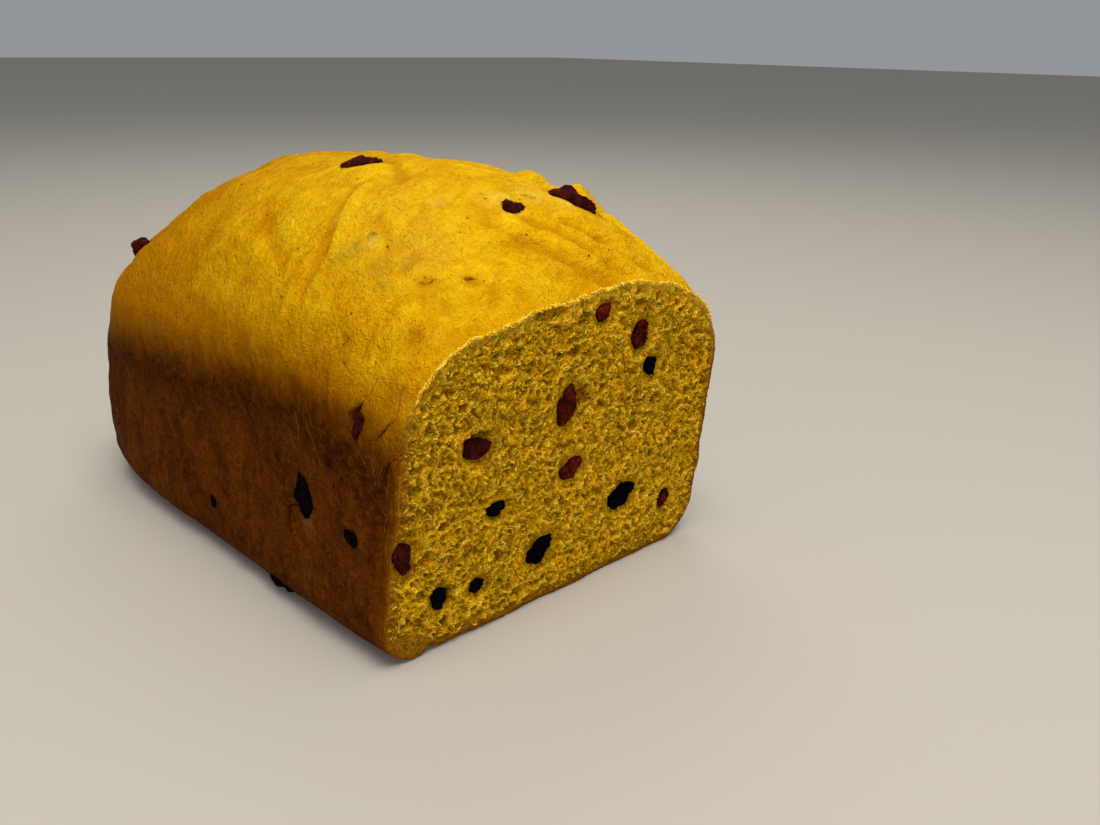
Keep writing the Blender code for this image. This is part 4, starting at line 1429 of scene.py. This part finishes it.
THREAD_ENDS = (0.3, 0.4)
THREAD_END_WIDTH = 0.3
THREAD_WIDTH_SPREAD = (0.6, 1.3)
EDGE_THREAD_COUNT = 26
EDGE_THREAD_HEIGHTS = (10, 76)
EDGE_THREAD_LENGTH = (3, 9)
EDGE_THREAD_INSET = (0.6, 3.5)
EDGE_THREAD_BENDS = 4
EDGE_THREAD_SWAY = 0.4

thread_finish, thread_tree, thread_shader = new_material("stretched_skin")
thread_mix, _ = grain_of(thread_tree, 4, roughness=0.7, contrast=0.15, shift=25)
thread_colour = blend(thread_tree, thread_mix, THREAD_COLOUR, THREAD_LIGHT)
coated(thread_tree, thread_shader, thread_colour, 0.7, BREAD_SPECULAR, thread_mix, SCRAP_BUMP)

draw = np.random.default_rng(THREAD_SEED)
thread_paths = [[np.array(spot) * MM for spot in path] for path in THREAD_PATHS.values()]
for _ in range(EDGE_THREAD_COUNT):
    low_end = draw.uniform(*EDGE_THREAD_HEIGHTS)
    high_end = low_end + draw.uniform(*EDGE_THREAD_LENGTH)
    behind_cut = draw.uniform(*EDGE_THREAD_INSET)
    path = []
    for height in np.linspace(low_end, high_end, EDGE_THREAD_BENDS):
        edge_x = flat_cut_x(-TIN_WIDTH / 2, height * MM) - behind_cut * MM
        edge_x += draw.uniform(-EDGE_THREAD_SWAY, EDGE_THREAD_SWAY) * MM
        path.append(np.array((edge_x, -TIN_WIDTH / 2, height * MM)))
    thread_paths.append(path)

rings = [[] for _ in range(3 * THREAD_STATIONS)]
for number, path in enumerate(thread_paths):
    walked = np.cumsum([0] + [np.linalg.norm(b - a) for a, b in zip(path, path[1:])])
    shares = np.linspace(0, walked[-1], THREAD_STATIONS)
    line = np.stack([np.interp(shares, walked, along_axis) for along_axis in np.array(path).T], axis=1)
    sway = noise_at(line, THREAD_SWAY_LENGTH, 80 + number) * THREAD_SWAY
    runs = np.gradient(line, axis=0)
    for n in range(THREAD_STATIONS):
        spot, normal, _, _ = whole_skin.find_nearest(line[n])
        across = normal.cross(Vector(runs[n])).normalized()
        swell = fullness(n, THREAD_STATIONS, THREAD_ENDS)
        wide = THREAD_END_WIDTH + (1 - THREAD_END_WIDTH) * swell
        ragged_width = THREAD_HALF_WIDTH * wide * draw.uniform(*THREAD_WIDTH_SPREAD)
        foot = spot + across * sway[n] - normal * THREAD_FOOT
        rings[3 * n].append(foot + across * ragged_width)
        rings[3 * n + 1].append(foot - across * ragged_width)
        rings[3 * n + 2].append(foot + normal * (THREAD_FOOT + THREAD_HEIGHT * swell))
joined_rings("stretched_skin", [np.array(ring) for ring in rings], thread_finish)


# The torn lip
# The edge of the dome's crust, where the knife frayed it: small pale flakes of dry skin that lie
# along it. Each is fast to the bread at its root.

LIP_COUNT = 900
LIP_DEPTH = 0.8 * MM
LIP_LOW = 14 * MM
LIP_FLAKE_LENGTH = (0.5, 1.5)
LIP_FLAKE_WIDTH = (0.14, 0.38)
LIP_FLAKE_THICKNESS = 0.10 * MM
LIP_FLAKE_ROOT = 0.14 * MM
LIP_FLAKE_CURL = 0.25
LIP_SPREAD = 0.25
LIP_RING_WIDTHS = (0.9, 1.0, 0.7, 0.2)
LIP_WIDTH_SPREAD = (0.6, 1.2)
LIP_CURL_SPREAD = (-0.5, 1.0)
LIP_CURL_TURN = 0.8

lip_finish, lip_tree, lip_shader = new_material("torn_lip")
lip_mix, _ = grain_of(lip_tree, 1.5, contrast=0.15, shift=22)
lip_colour = blend(lip_tree, lip_mix, SKIN_PALE, CRUMB_GOLD)
coated(lip_tree, lip_shader, lip_colour, 0.85, BREAD_SPECULAR, lip_mix, SCRAP_BUMP)

edge = np.flatnonzero(on_cut & (under_skin < LIP_DEPTH) & (held["above_rim_line"] > LIP_LOW))
roots = places[draw.choice(edge, LIP_COUNT)]
outward = np.array([whole_skin.find_nearest(p)[1] for p in roots])
runs = np.cross(outward, out_of_cut) * draw.choice((-1, 1), LIP_COUNT)[:, None]
runs += LIP_SPREAD * draw.normal(size=(LIP_COUNT, 3))
runs /= np.linalg.norm(runs, axis=1, keepdims=True)
lift = out_of_cut - runs * (runs @ out_of_cut)[:, None]
lift /= np.linalg.norm(lift, axis=1, keepdims=True)
sides = np.cross(runs, lift)
length = draw.uniform(*LIP_FLAKE_LENGTH, LIP_COUNT) * MM
width = draw.uniform(*LIP_FLAKE_WIDTH, LIP_COUNT) * MM
curl = draw.uniform(*LIP_CURL_SPREAD, LIP_COUNT) * LIP_FLAKE_CURL * length
rings = []
for n, share in enumerate(LIP_RING_WIDTHS):
    t = n / (len(LIP_RING_WIDTHS) - 1)
    middle = roots + runs * (t * length)[:, None]
    middle += lift * (curl * math.sin(math.pi * LIP_CURL_TURN * t) - LIP_FLAKE_ROOT)[:, None]
    across = sides * (share * width * draw.uniform(*LIP_WIDTH_SPREAD, LIP_COUNT))[:, None]
    rings += [middle + across, middle - across, middle + lift * LIP_FLAKE_THICKNESS]
joined_rings("torn_lip", rings, lip_finish)
